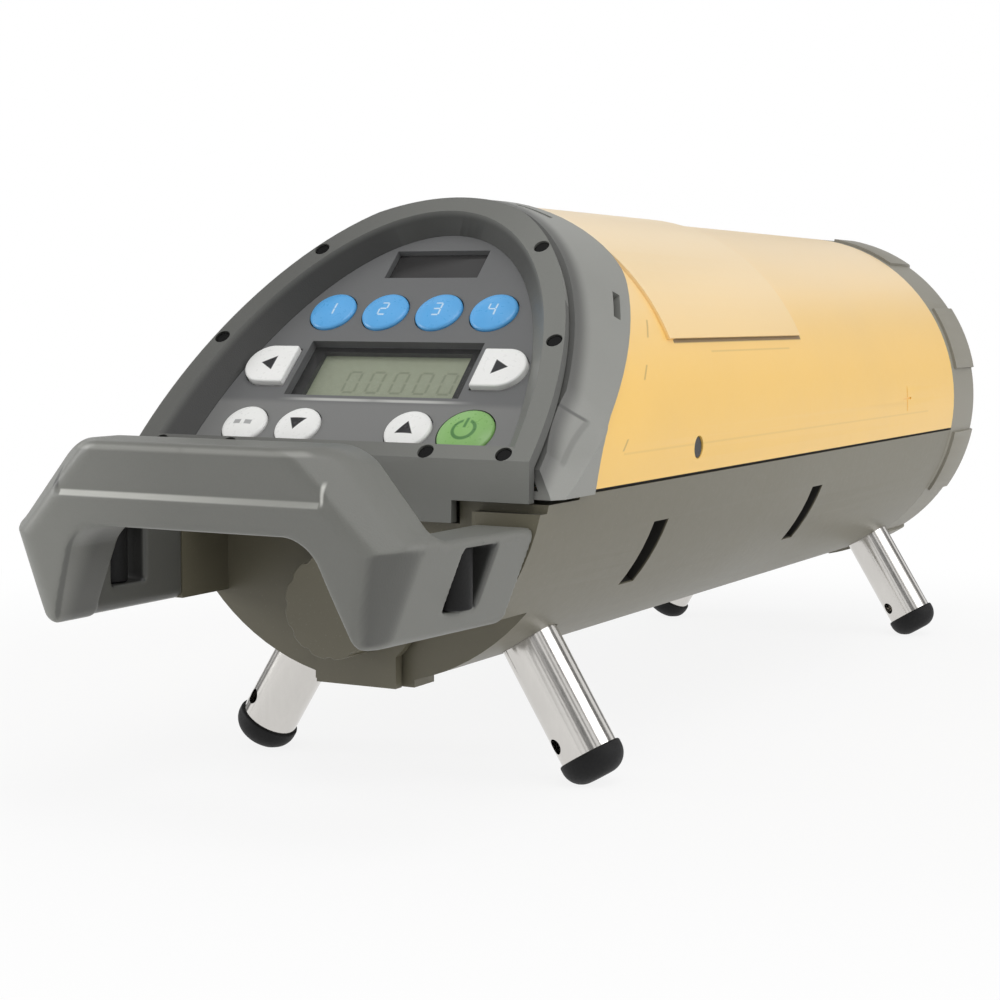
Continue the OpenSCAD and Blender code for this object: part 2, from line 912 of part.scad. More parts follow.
module control_housing() {
    rear = lip_y + lip_t + groove_w;
    color([0.56, 0.56, 0.55])
        on_axis()
            difference() {
                union() {
                    difference() {
                        intersection() {
                            head_body(0);
                            head_rear_limit();
                            head_seam_side();
                            above(low_z);
                        }
                        head_body(head_wall);
                    }
                    intersection() {
                        union() {
                            on_slope()
                                frame_screw_places()
                                    translate([0, 0, -frame_t - groove_w - frame_post_l])
                                        cylinder(d = frame_post_d, h = frame_post_l);
                            on_slope()
                                both_sides()
                                    translate([frame_screws_uv[0].x, frame_screws_uv[0].y - head_wall / 4,
                                        -frame_t - groove_w - frame_post_l])
                                        cube([frame_post_l, head_wall / 2, frame_post_l]);
                            box([-far, rear, low_z], [far, rear + floor_l, low_z + floor_t]);
                        }
                        head_body(head_wall / 2);
                        head_rear_limit();
                        above(low_z);
                    }
                }
                on_slope()
                    frame_screw_places()
                        translate([0, 0, -frame_t - groove_w - frame_post_l - over])
                            cylinder(d = frame_screw_d + 2 * fit_gap, h = frame_post_l + 2 * over);
                both_sides() {
                    translate([head_r - scoop_inset, lip_y + scoop_ahead, scoop_rise]
                        + (scoop_r - scoop_depth) * scoop_dir)
                        sphere(r = scoop_r);
                    band_slot(slot_angles[0], slot_depth);
                    band_slot(slot_angles[1], slot_top_depth);
                }
            }
}

module panel_frame() {
    tub_low = panel_back_z;
    color([0.5, 0.5, 0.49])
        on_axis()
            difference() {
                union() {
                    intersection() {
                        rod_y(head_r - fit_gap, lip_y, seam_y);
                        on_slope()
                            translate([0, 0, -frame_t])
                                linear_extrude(frame_t)
                                    polygon(arch(frame_half_w, frame_arch_h, -frame_half_w));
                    }
                    box([-frame_half_w, lip_y, -lip_low], [frame_half_w, lip_y + lip_t, -crease_drop]);
                    box([-lip_mid_half_w, lip_y, -lip_low - lip_step],
                        [lip_mid_half_w, lip_y + lip_t, -crease_drop]);
                    intersection() {
                        on_slope()
                            translate([0, 0, tub_low])
                                linear_extrude(-tub_low - frame_t / 2)
                                    polygon(arch(recess_half_w + tub_wall, recess_arch_h + tub_wall,
                                        recess_low_v - 2 * tub_wall));
                        box([-far, lip_y + lip_t / 2, -far], [far, far, far]);
                    }
                }
                on_slope() {
                    hull() {
                        linear_extrude(over)
                            polygon(arch(recess_half_w, recess_arch_h, recess_low_v));
                        translate([0, 0, panel_z])
                            linear_extrude(fit_gap)
                                polygon(arch(foot_half_w, foot_arch_h, foot_low_v));
                    }
                    translate([0, 0, tub_low - over])
                        linear_extrude(panel_z - tub_low + over + fit_gap / 2)
                            polygon(arch(foot_half_w + fit_gap, foot_arch_h + fit_gap, foot_low_v - fit_gap));
                    frame_screw_places() {
                        translate([0, 0, -frame_head_t])
                            cylinder(d = frame_head_d + 2 * fit_gap, h = recess_depth);
                        translate([0, 0, -2 * frame_t])
                            cylinder(d = frame_screw_d + 2 * fit_gap, h = recess_depth);
                        translate([0, 0, -frame_t - groove_w - frame_post_l])
                            cylinder(d = frame_post_d + 2 * fit_gap, h = frame_post_l + groove_w / 2);
                    }
                }
            }
}

module frame_screws() {
    color([0.08, 0.08, 0.08])
        on_panel()
            frame_screw_places() {
                translate([0, 0, -frame_head_t])
                    cylinder(d = frame_head_d, h = frame_head_t - fit_gap * 4);
                translate([0, 0, -frame_t - groove_w - frame_post_l / 2])
                    cylinder(d = frame_screw_d, h = frame_t + groove_w + frame_post_l / 2 - frame_head_t);
            }
}

// Outline of a left or right key: flat towards the display, round outwards
module side_key_outline(grow) {
    r = side_key_h / 2 + grow;
    translate([side_key_w / 2 + grow - r, 0])
        circle(r = r);
    translate([-side_key_w / 2 - grow, -r])
        square([side_key_w + 2 * grow - r, 2 * r]);
}

// Each round key: name, place across, place up the slope, diameter
round_keys = [
    ["function_key_1", -1.5 * function_pitch, function_v, function_key_d],
    ["function_key_2", -0.5 * function_pitch, function_v, function_key_d],
    ["function_key_3", 0.5 * function_pitch, function_v, function_key_d],
    ["function_key_4", 1.5 * function_pitch, function_v, function_key_d],
    ["mode_key", -outer_key_u, low_row_v, small_key_d],
    ["down_key", -small_key_u, low_row_v, small_key_d],
    ["up_key", small_key_u, low_row_v, small_key_d],
    ["power_key", outer_key_u, low_row_v, power_key_d]];
function key_row(name) = [for (k = round_keys) if (k[0] == name) k][0];

module control_panel() {
    color([0.33, 0.33, 0.34])
        on_panel()
            difference() {
                union() {
                    translate([0, 0, panel_back_z])
                        linear_extrude(panel_t)
                            polygon(arch(foot_half_w, foot_arch_h, foot_low_v));
                    for (uv = standoffs_uv, side = [-1, 1])
                        translate([side * uv.x, uv.y, board_z])
                            cylinder(d = standoff_d, h = panel_back_z - board_z);
                }
                for (k = round_keys)
                    translate([k[1], k[2], panel_back_z - over])
                        cylinder(d = k[3] + 2 * slide_gap, h = panel_t + 2 * over);
                for (side = [-1, 1])
                    translate([side * side_key_u, display_v, panel_back_z - over])
                        mirror([side < 0 ? 1 : 0, 0, 0])
                            linear_extrude(panel_t + 2 * over)
                                side_key_outline(slide_gap);
                translate([0, display_v, panel_z])
                    cube([display_w, display_h, 4 * panel_t], center = true);
                translate([0, sensor_v, panel_z])
                    cube([sensor_w, sensor_h, 4 * panel_t], center = true);
            }
}

module sensor_window() {
    color([0.08, 0.07, 0.08])
        on_panel()
            translate([0, sensor_v, panel_back_z]) {
                translate([0, 0, (panel_t - sensor_drop) / 2])
                    cube([sensor_w - 2 * fit_gap, sensor_h - 2 * fit_gap, panel_t - sensor_drop],
                        center = true);
                translate([0, 0, -sensor_t / 2])
                    cube([sensor_w + 2 * sensor_flange, sensor_h + 2 * sensor_flange, sensor_t], center = true);
            }
}

module display_window() {
    color([0.6, 0.65, 0.6, 0.4])
        on_panel()
            translate([0, display_v, panel_z - glass_drop - display_glass_t / 2])
                cube([display_w - 2 * fit_gap, display_h - 2 * fit_gap, display_glass_t], center = true);
}

module lcd_module() {
    top = panel_z - glass_drop - display_glass_t;
    w = display_w - 2 * fit_gap;
    h = display_h - 2 * fit_gap;
    color([0.45, 0.5, 0.38])
        on_panel()
            translate([0, display_v, 0])
                difference() {
                    translate([-w / 2, -h / 2, board_z])
                        cube([w, h, top - board_z]);
                    translate([-w / 2 + lcd_frame_w, -h / 2 + lcd_frame_w / 2, top - lcd_pocket])
                        cube([w - 2 * lcd_frame_w, h - lcd_frame_w, lcd_pocket + over]);
                }
}

module keypad_mat() {
    color([0.2, 0.2, 0.2])
        on_panel()
            difference() {
                box([-board_half_w, board_low_v, mat_z - mat_t], [board_half_w, board_high_v, mat_z]);
                translate([0, display_v, mat_z])
                    cube([display_w + 2 * fit_gap, display_h + 2 * fit_gap, 4 * mat_t], center = true);
                for (uv = standoffs_uv, side = [-1, 1])
                    translate([side * uv.x, uv.y, board_z - over])
                        cylinder(d = standoff_d + 2 * fit_gap, h = mat_t + 2 * over);
            }
}

module display_board() {
    color([0.1, 0.35, 0.2])
        on_panel()
            box([-board_half_w, board_low_v, board_z - board_t],
                [board_half_w, standoffs_uv[1].y + standoff_d, board_z]);
}

// A domed key with a flange behind the panel
module key_solid(d) {
    top = panel_z + key_rise;
    intersection() {
        translate([0, 0, panel_back_z - run_gap - key_flange_t])
            cylinder(d = d, h = top - panel_back_z + run_gap + key_flange_t);
        translate([0, 0, top - key_dome_r])
            sphere(r = key_dome_r);
    }
    translate([0, 0, panel_back_z - run_gap - key_flange_t])
        cylinder(d = d + 2 * key_flange, h = key_flange_t);
}

module round_key(name) {
    k = key_row(name);
    on_panel()
        translate([k[1], k[2], 0])
            key_solid(k[3]);
}

module side_key(side) {
    on_panel()
        translate([side * side_key_u, display_v, panel_back_z - run_gap - key_flange_t])
            mirror([side < 0 ? 1 : 0, 0, 0]) {
                linear_extrude(panel_t + key_flange_t + run_gap + key_rise)
                    side_key_outline(0);
                linear_extrude(key_flange_t)
                    side_key_outline(key_flange);
            }
}

module function_key_1() {
    color([0.2, 0.5, 0.8])
        round_key("function_key_1");
}

module function_key_2() {
    color([0.2, 0.5, 0.8])
        round_key("function_key_2");
}

module function_key_3() {
    color([0.2, 0.5, 0.8])
        round_key("function_key_3");
}

module function_key_4() {
    color([0.2, 0.5, 0.8])
        round_key("function_key_4");
}

module left_key() {
    color([0.9, 0.9, 0.88])
        side_key(-1);
}

module right_key() {
    color([0.9, 0.9, 0.88])
        side_key(1);
}

module mode_key() {
    color([0.9, 0.9, 0.88])
        round_key("mode_key");
}

module down_key() {
    color([0.9, 0.9, 0.88])
        round_key("down_key");
}

module up_key() {
    color([0.9, 0.9, 0.88])
        round_key("up_key");
}

module power_key() {
    color([0.45, 0.7, 0.35])
        round_key("power_key");
}

// Handle: a bar across the rear, and an arm to each cheek
bar_corners = [[gap_top_half_w, -gap_top_drop], [gap_low_half_w, -handle_drop],
    [bar_low_half_w, -handle_drop], [handle_half_w, -corner_drop], [bar_top_half_w, bar_top]];
bar_rounds = [gap_r, lower_r / 2, lower_r, widest_r, bar_corner_r];
front_y = rear_y - cheek_reach;
window_y = front_y - window_front - window_l;

module arm() {
    arm_l = handle_reach - cheek_reach - bar_depth / 2;
    intersection() {
        translate([arm_root_half_w, front_y, 0])
            rotate([0, 0, -arm_turn])
                rear_slab(rounded([[0, -arm_top_drop], [arm_low_half_w - arm_root_half_w, -handle_drop],
                    [-arm_root_half_w, -handle_drop], [-arm_root_half_w, -arm_top_drop]],
                    [lower_r / 2, lower_r, 0, 0]), -arm_l, arm_l);
        box([cheek_in_x, -far, -far], [far, front_y, far]);
    }
}

// Removes the rear edge of the bar along the line from a to b of its outline
module bar_bevel(a, b) {
    translate([a.x, handle_y + bevel_l, a.y])
        rotate([0, -atan2(b.y - a.y, b.x - a.x), 0])
            rotate([-atan(bevel_w / bevel_l), 0, 0])
                box([-far, -far, -far], [far, far, 0]);
}

module handle() {
    bar_side = rounded([[handle_y, bar_top], [handle_y, -bar_lean_drop], [handle_y + bar_lean_l, -handle_drop],
        [handle_y + bar_depth, -handle_drop], [handle_y + bar_depth, bar_top]],
        [bar_edge_r, 0, lower_r / 2, lower_r / 2, bar_edge_r]);
    color([0.45, 0.46, 0.46])
        on_axis()
            difference() {
                union() {
                    intersection() {
                        rear_slab(rounded(mirrored(bar_corners),
                            concat(bar_rounds, [for (i = [4 : -1 : 0]) bar_rounds[i]])),
                            handle_y, handle_y + bar_depth);
                        side_slab(bar_side, far);
                    }
                    both_sides()
                        arm();
                }
                side_slab([[handle_y - over, -ledge_low_drop], [handle_y + ledge_depth, -ledge_low_drop],
                    [handle_y, -ledge_top_drop], [handle_y - over, -ledge_top_drop]], ledge_half_w);
                both_sides() {
                    bar_bevel(bar_corners[2], bar_corners[3]);
                    bar_bevel(bar_corners[3], bar_corners[4]);
                    box([0, window_y, -window_drop - window_h], [far, window_y + window_l, -window_drop]);
                    for (xz = handle_screws_xz)
                        translate([xz.x, 0, xz.y])
                            rod_y(handle_screw_d / 2 + fit_gap, front_y - handle_screw_grip - over,
                                front_y + over);
                }
            }
}

module handle_screws() {
    color([0.2, 0.2, 0.2])
        on_axis()
            for (xz = handle_screws_xz, side = [-1, 1])
                translate([side * xz.x, 0, xz.y]) {
                    rod_y(handle_head_d / 2, rear_y + rear_wall, rear_y + rear_wall + handle_head_t);
                    rod_y(handle_screw_d / 2, rear_y - cheek_reach - handle_screw_grip, rear_y + rear_wall);
                }
}

module strap_posts() {
    color([0.05, 0.05, 0.05])
        on_axis()
            both_sides()
                translate([post_x, window_y + window_l / 2, -window_drop - window_h])
                    cylinder(d = post_d, h = window_h);
}

// Legs and feet
module leg_solid(side, y) {
    tube_end = leg_tip_r - foot_l;
    on_axis()
        on_leg(side, y)
            difference() {
                union() {
                    translate([0, 0, seat_r - stud_l])
                        cylinder(d = stud_d, h = stud_l);
                    translate([0, 0, seat_r])
                        cylinder(d = leg_d, h = tube_end - seat_r);
                    translate([0, 0, tube_end])
                        cylinder(d = foot_peg_d, h = foot_l - foot_floor);
                }
                translate([0, 0, tube_end - leg_hole_up])
                    rotate([90, 0, leg_hole_turn])
                        cylinder(d = leg_hole_d, h = 2 * leg_d, center = true);
            }
}

module foot_solid(side, y) {
    start = leg_tip_r - foot_l;
    intersection() {
        on_axis()
            on_leg(side, y)
                difference() {
                    union() {
                        translate([0, 0, start])
                            cylinder(d = foot_d, h = foot_l - foot_round);
                        rotate_extrude()
                            translate([0, leg_tip_r - foot_round])
                                intersection() {
                                    union() {
                                        translate([foot_d / 2 - foot_round, 0])
                                            circle(r = foot_round);
                                        translate([0, -foot_round])
                                            square([foot_d / 2 - foot_round, 2 * foot_round]);
                                    }
                                    square([foot_d, foot_round]);
                                }
                    }
                    translate([0, 0, start - over])
                        cylinder(d = foot_peg_d + 2 * fit_gap, h = foot_l - foot_floor + over);
                }
        translate([-far, -far, 0])
            cube([2 * far, 2 * far, axis_h]);
    }
}

module leg_rear_left() {
    color([0.75, 0.74, 0.72])
        leg_solid(-1, leg_ys[0]);
}

module leg_rear_right() {
    color([0.75, 0.74, 0.72])
        leg_solid(1, leg_ys[0]);
}

module leg_front_left() {
    color([0.75, 0.74, 0.72])
        leg_solid(-1, leg_ys[1]);
}

module leg_front_right() {
    color([0.75, 0.74, 0.72])
        leg_solid(1, leg_ys[1]);
}

module foot_rear_left() {
    color([0.08, 0.08, 0.09])
        foot_solid(-1, leg_ys[0]);
}

module foot_rear_right() {
    color([0.08, 0.08, 0.09])
        foot_solid(1, leg_ys[0]);
}

module foot_front_left() {
    color([0.08, 0.08, 0.09])
        foot_solid(-1, leg_ys[1]);
}

module foot_front_right() {
    color([0.08, 0.08, 0.09])
        foot_solid(1, leg_ys[1]);
}

// Front cap: half section about the axis, radius first, then distance from the seam
module cap_section(r) {
    difference() {
        union() {
            square([r, cap_l - cap_edge_r]);
            square([r - cap_edge_r, cap_l]);
            translate([r - cap_edge_r, cap_l - cap_edge_r])
                circle(r = cap_edge_r);
        }
        translate([0, -over])
            square([r - cap_wall, glass_seat_y - seam_y - cap_wall + over]);
        square([aperture_d / 2, 2 * cap_l]);
        translate([0, glass_seat_y - seam_y])
            square([glass_d / 2 + fit_gap, cap_l]);
        translate([0, cap_l - bezel_t])
            square([bezel_d / 2 + fit_gap, cap_l]);
    }
}

module front_cap() {
    bumper_angle = 360 / bumper_count;
    color([0.5, 0.5, 0.49])
        on_axis()
            difference() {
                union() {
                    translate([0, seam_y, 0])
                        rotate([-90, 0, 0])
                            rotate_extrude()
                                cap_section(cap_d / 2);
                    intersection() {
                        translate([0, seam_y, 0])
                            rotate([-90, 0, 0])
                                rotate_extrude()
                                    cap_section(cap_d / 2 + bumper_rise);
                        for (k = [0 : bumper_count - 1])
                            rotate([0, (k + 0.5) * bumper_angle, 0])
                                both_sides()
                                    wedge(0, bumper_angle * bumper_share / 2, body_d,
                                        seam_y + cap_edge_r / 2, far);
                    }
                    difference() {
                        ring_y(bore_r - slide_gap, bore_r - slide_gap - spigot_t, seam_y - spigot_l,
                            seam_y + cap_wall);
                        each_leg()
                            cylinder(d = boss_d + 2 * slide_gap, h = body_r);
                    }
                }
                cap_screw_places(cap_lug_angles) {
                    rod_y(lug_r + slide_gap, seam_y - spigot_l - over, seam_y);
                    rod_y(cap_screw_d / 2 + fit_gap, seam_y - over, seam_y + 2 * cap_l);
                    rod_y(cap_screw_head_d / 2 + fit_gap, seam_y + cap_l - cap_edge_r, seam_y + 2 * cap_l);
                }
            }
}

module cap_screws() {
    head_y = seam_y + cap_l - cap_edge_r;
    color([0.12, 0.12, 0.12])
        on_axis()
            cap_screw_places(cap_lug_angles) {
                rod_y(cap_screw_d / 2, seam_y - lug_l, head_y);
                rod_y(cap_screw_head_d / 2, head_y, head_y + cap_screw_head_t);
            }
}

module window_seal() {
    color([0.05, 0.05, 0.05])
        on_axis()
            ring_y(glass_d / 2, aperture_d / 2, glass_seat_y, glass_seat_y + seal_t);
}

module window_glass() {
    color([0.7, 0.8, 0.85, 0.4])
        on_axis()
            rod_y(glass_d / 2, glass_seat_y + seal_t, glass_seat_y + seal_t + glass_t);
}

module window_bezel() {
    y0 = seam_y + cap_l - bezel_t;
    color([0.15, 0.15, 0.16])
        on_axis()
            difference() {
                ring_y(bezel_d / 2, aperture_d / 2, y0, y0 + bezel_t - bezel_proud);
                for (a = [0, 90])
                    rotate([0, a, 0])
                        box([-far, y0 + bezel_t - bezel_proud - bezel_notch_depth, -bezel_notch_w / 2],
                            [far, far, bezel_notch_w / 2]);
            }
}

// Battery
module battery_axis() {
    on_axis()
        translate([0, 0, -battery_drop])
            children();
}

module battery_sleeve() {
    color([0.3, 0.3, 0.3])
        battery_axis()
            difference() {
                rod_y(sleeve_r - fit_gap / 2, rear_y, sleeve_front_y + sleeve_t);
                rod_y(sleeve_in_r, rear_y - over, sleeve_front_y);
            }
}

module battery_holder() {
    y1 = rear_y - plate_gap;
    color([0.43, 0.41, 0.36])
        battery_axis()
            difference() {
                union() {
                    rod_y(plate_r, y1 - plate_t, y1);
                    box([-tab_half_w, y1 - plate_t, battery_drop - body_r - tab_proud], [tab_half_w, y1, 0]);
                    rod_y(holder_r, y1, cells_front_y + contact_t + slide_gap + holder_wall);
                }
                rod_y(holder_r - holder_wall, cells_y, cells_front_y + contact_t + slide_gap);
                box([-holder_r, cells_y, cell_d / 4], [holder_r, cells_front_y, holder_r + over]);
                rod_y(knob_shaft_d / 2 + run_gap, y1 - plate_t - over, cells_y - contact_t);
            }
}

module battery_cells() {
    color([0.25, 0.3, 0.35])
        battery_axis()
            for (k = [0 : cell_count - 1]) {
                rod_y(cell_d / 2, cells_y + k * cell_l, cells_y + (k + 1) * cell_l - nub_l);
                rod_y(nub_d / 2, cells_y + (k + 1) * cell_l - nub_l, cells_y + (k + 1) * cell_l - fit_gap / 2);
            }
}

module battery_contact() {
    color([0.7, 0.6, 0.35])
        battery_axis()
            rod_y(holder_r - holder_wall - fit_gap, cells_front_y, cells_front_y + contact_t);
}

module battery_seal() {
    y1 = rear_y - plate_gap;
    color([0.05, 0.05, 0.05])
        battery_axis()
            ring_y(plate_r - plate_edge, holder_r + fit_gap, y1, y1 + battery_seal_t);
}

module lock_knob() {
    y1 = rear_y - plate_gap - plate_t - knob_gap;
    color([0.4, 0.38, 0.34])
        battery_axis() {
            difference() {
                rod_y(knob_d / 2, y1 - knob_reach, y1);
                for (k = [0 : knob_flutes - 1])
                    rotate([0, 360 * k / knob_flutes, 0])
                        translate([0, 0, (knob_d + knob_flute_d) / 2 - knob_flute_depth])
                            rod_y(knob_flute_d / 2, y1 - knob_reach - over, y1 + over);
            }
            rod_y(knob_shaft_d / 2, y1, y1 + plate_t + knob_shaft_d / 2);
        }
}

// Chassis and electronics
module chassis() {
    y0 = rear_y + chassis_rear_in;
    y1 = seam_y - chassis_front_in;
    color([0.7, 0.71, 0.72])
        on_axis()
            difference() {
                union() {
                    difference() {
                        box([-chassis_half_w, y0, -rail_drop], [chassis_half_w, y1, chassis_top]);
                        box([-stage_window_half_w, pivot_y - stage_window_rear, -body_r],
                            [stage_window_half_w, y1 - bridge_half_l / 2, 0]);
                    }
                    box([-stage_window_half_w - bridge_leg_t, pivot_y - bridge_half_l, -bridge_drop],
                        [stage_window_half_w + bridge_leg_t, pivot_y + bridge_half_l, -bridge_drop + bridge_t]);
                    both_sides()
                        box([stage_window_half_w, pivot_y - bridge_half_l, -bridge_drop],
                            [stage_window_half_w + bridge_leg_t, pivot_y + bridge_half_l, -rail_drop]);
                    for (x = [-1, 1] * (main_board_half_w - board_post_d),
                        s = [board_post_d, main_board_l - board_post_d])
                        translate([x, y0 + main_board_rear + s, chassis_top])
                            cylinder(d = board_post_d, h = board_post_h);
                }
                translate([0, pivot_y, -bridge_drop - over])
                    cylinder(d = bearing_d + fit_gap, h = bridge_t + 2 * over);
            }
}

module main_board() {
    y0 = rear_y + chassis_rear_in + main_board_rear;
    z0 = chassis_top + board_post_h;
    color([0.1, 0.35, 0.2])
        on_axis() {
            box([-main_board_half_w, y0, z0], [main_board_half_w, y0 + main_board_l, z0 + board_t]);
            for (c = chip_shares)
                translate([c[0] * main_board_half_w, y0 + c[1] * main_board_l, z0 + board_t + chip_h / 2])
                    cube([c[2] * main_board_l, c[2] * main_board_l, chip_h], center = true);
        }
}

// Laser stage, drawn about the tilt centre
module at_pivot() {
    on_axis()
        translate([0, pivot_y, 0])
            children();
}

module line_bearing() {
    color([0.72, 0.58, 0.3])
        at_pivot()
            translate([0, 0, -bridge_drop])
                difference() {
                    cylinder(d = bearing_d, h = bridge_t);
                    translate([0, 0, -over])
                        cylinder(d = yoke_stud_d + 2 * run_gap, h = bridge_t + 2 * over);
                }
}

module line_yoke() {
    base_low = -yoke_base_drop - yoke_base_t;
    motor_top = grade_pinion_z + grade_motor_d / 2 + fit_gap;
    color([0.62, 0.63, 0.65])
        at_pivot()
            difference() {
                union() {
                    box([-cheek_out, -cheek_half_l, base_low], [cheek_out, cheek_half_l, -yoke_base_drop]);
                    box([-cheek_out, -cheek_half_l, base_low], [-cheek_in, cheek_half_l, cheek_top]);
                    box([cheek_in, -cheek_half_l, base_low], [cheek_out, cheek_half_l, motor_top]);
                    translate([0, 0, -bridge_drop])
                        cylinder(d = yoke_stud_d, h = bridge_drop + base_low);
                    translate([0, 0, -line_sector_drop - sector_t])
                        rotate([0, 0, 180])
                            linear_extrude(sector_t)
                                sector(line_teeth, line_sector_half, cheek_out - cheek_t / 2);
                }
                rotate([0, 90, 0])
                    cylinder(d = trunnion_d + 2 * run_gap, h = 4 * cheek_out, center = true);
                translate([0, 0, grade_pinion_z])
                    rotate([0, 90, 0])
                        cylinder(d = grade_shaft_d + 2 * slide_gap, h = 2 * cheek_out);
            }
}

module line_pinion() {
    color([0.75, 0.62, 0.35])
        at_pivot()
            translate([line_pinion_x, 0, -line_sector_drop - sector_t - slide_gap]) {
                rotate([0, 0, 180 / line_pinion_teeth])
                    linear_extrude(sector_t + 2 * slide_gap)
                        gear_outline(line_pinion_teeth, 0, line_pinion_teeth - 1);
                cylinder(d = line_shaft_d, h = sector_t + motor_gap + motor_l / 2);
            }
}

module line_motor() {
    low = -line_sector_drop + motor_gap;
    color([0.3, 0.3, 0.32])
        at_pivot()
            translate([line_pinion_x, 0, 0])
                difference() {
                    union() {
                        translate([0, 0, low])
                            cylinder(d = motor_d, h = motor_l);
                        box([-motor_post_d / 2, -motor_post_off, low],
                            [motor_post_d / 2, motor_post_off, low + motor_post_d / 2]);
                        for (s = [-1, 1])
                            translate([0, s * motor_post_off, chassis_top])
                                cylinder(d = motor_post_d, h = low + motor_post_d / 2 - chassis_top);
                    }
                    translate([0, 0, low - over])
                        cylinder(d = line_shaft_d + 2 * run_gap, h = motor_l / 2 + 2 * over);
                }
}

module laser_barrel() {
    color([0.2, 0.2, 0.22])
        at_pivot()
            difference() {
                union() {
                    rod_y(barrel_d / 2, -barrel_rear, barrel_front);
                    translate([-cheek_out, 0, 0])
                        rotate([0, 90, 0])
                            cylinder(d = trunnion_d, h = 2 * cheek_out + sector_gap + sector_t);
                    rotate([0, 90, 0])
                        cylinder(d = 2 * trunnion_d, h = 2 * cheek_in - 2 * slide_gap, center = true);
                }
                rod_y(barrel_d / 2 - barrel_wall, -barrel_rear - over, -barrel_rear + diode_l);
                rod_y(barrel_d / 4, -barrel_rear, barrel_front + over);
                rod_y(barrel_d / 2 - barrel_wall, barrel_front - lens_seat - lens_t, barrel_front + over);
            }
}

module grade_sector() {
    mid = 90 - (grade_up - grade_down) / 2;
    half = (grade_up + grade_down) / 2 + sector_web_half;
    step = 360 / grade_teeth;
    color([0.75, 0.62, 0.35])
        at_pivot()
            translate([cheek_out + sector_gap, 0, 0])
                rotate([90, 0, 90])
                    linear_extrude(sector_t)
                        difference() {
                            union() {
                                rotate([0, 0, 90 + step * round((mid - 90) / step)])
                                    sector(grade_teeth, half, 0);
                                circle(d = sector_hub_d);
                            }
                            circle(d = trunnion_d + fit_gap);
                        }
}

module grade_pinion() {
    color([0.8, 0.8, 0.8])
        at_pivot()
            translate([cheek_out + sector_gap - slide_gap, 0, grade_pinion_z]) {
                rotate([90, 0, 90])
                    rotate([0, 0, -90 + 180 / grade_pinion_teeth])
                        linear_extrude(sector_t + 2 * slide_gap)
                            gear_outline(grade_pinion_teeth, 0, grade_pinion_teeth - 1);
                translate([-cheek_t - grade_motor_l / 2, 0, 0])
                    rotate([0, 90, 0])
                        cylinder(d = grade_shaft_d, h = cheek_t + grade_motor_l / 2 + sector_t);
            }
}

module grade_motor() {
    color([0.3, 0.3, 0.32])
        at_pivot()
            translate([cheek_in - grade_motor_l, 0, grade_pinion_z])
                rotate([0, 90, 0])
                    difference() {
                        cylinder(d = grade_motor_d, h = grade_motor_l);
                        translate([0, 0, grade_motor_l / 4])
                            cylinder(d = grade_shaft_d + 2 * run_gap, h = grade_motor_l);
                    }
}

module level_sensor() {
    color([0.2, 0.25, 0.3])
        at_pivot()
            box([-cheek_out - level_w, -level_l / 2, -level_low], [-cheek_out, level_l / 2, level_high]);
}

module laser_diode() {
    color([0.7, 0.6, 0.35])
        at_pivot()
            rod_y(barrel_d / 2 - barrel_wall - fit_gap, -barrel_rear, -barrel_rear + diode_l - fit_gap);
}

module collimator_lens() {
    color([0.7, 0.8, 0.9, 0.4])
        at_pivot()
            rod_y(barrel_d / 2 - barrel_wall - fit_gap, barrel_front - lens_seat - lens_t,
                barrel_front - lens_seat);
}

lower_housing();
leg_bushes();
top_cover();
cover_gasket();
cover_screws();
control_housing();
panel_frame();
frame_screws();
control_panel();
sensor_window();
display_window();
lcd_module();
keypad_mat();
display_board();
function_key_1();
function_key_2();
function_key_3();
function_key_4();
left_key();
right_key();
mode_key();
down_key();
up_key();
power_key();
handle();
handle_screws();
strap_posts();
front_cap();
cap_screws();
window_seal();
window_glass();
window_bezel();
leg_rear_left();
leg_rear_right();
leg_front_left();
leg_front_right();
foot_rear_left();
foot_rear_right();
foot_front_left();
foot_front_right();
battery_sleeve();
battery_holder();
battery_cells();
battery_contact();
battery_seal();
lock_knob();
chassis();
main_board();
line_bearing();
line_yoke();
line_pinion();
line_motor();
laser_barrel();
grade_sector();
grade_pinion();
grade_motor();
level_sensor();
laser_diode();
collimator_lens();
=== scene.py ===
# %% [markdown]
# # A pipe laser, dressed for its picture
# A pipe laser stands in a drain pipe and sends a beam along the line that the next pipes have to follow.
# Its solids come from CAD and stay where they are. This lesson gives each of them soft edges and a finish,
# prints the keys and the display, and then lights the whole like a product photograph.

# %% Load the frame
import json
import math

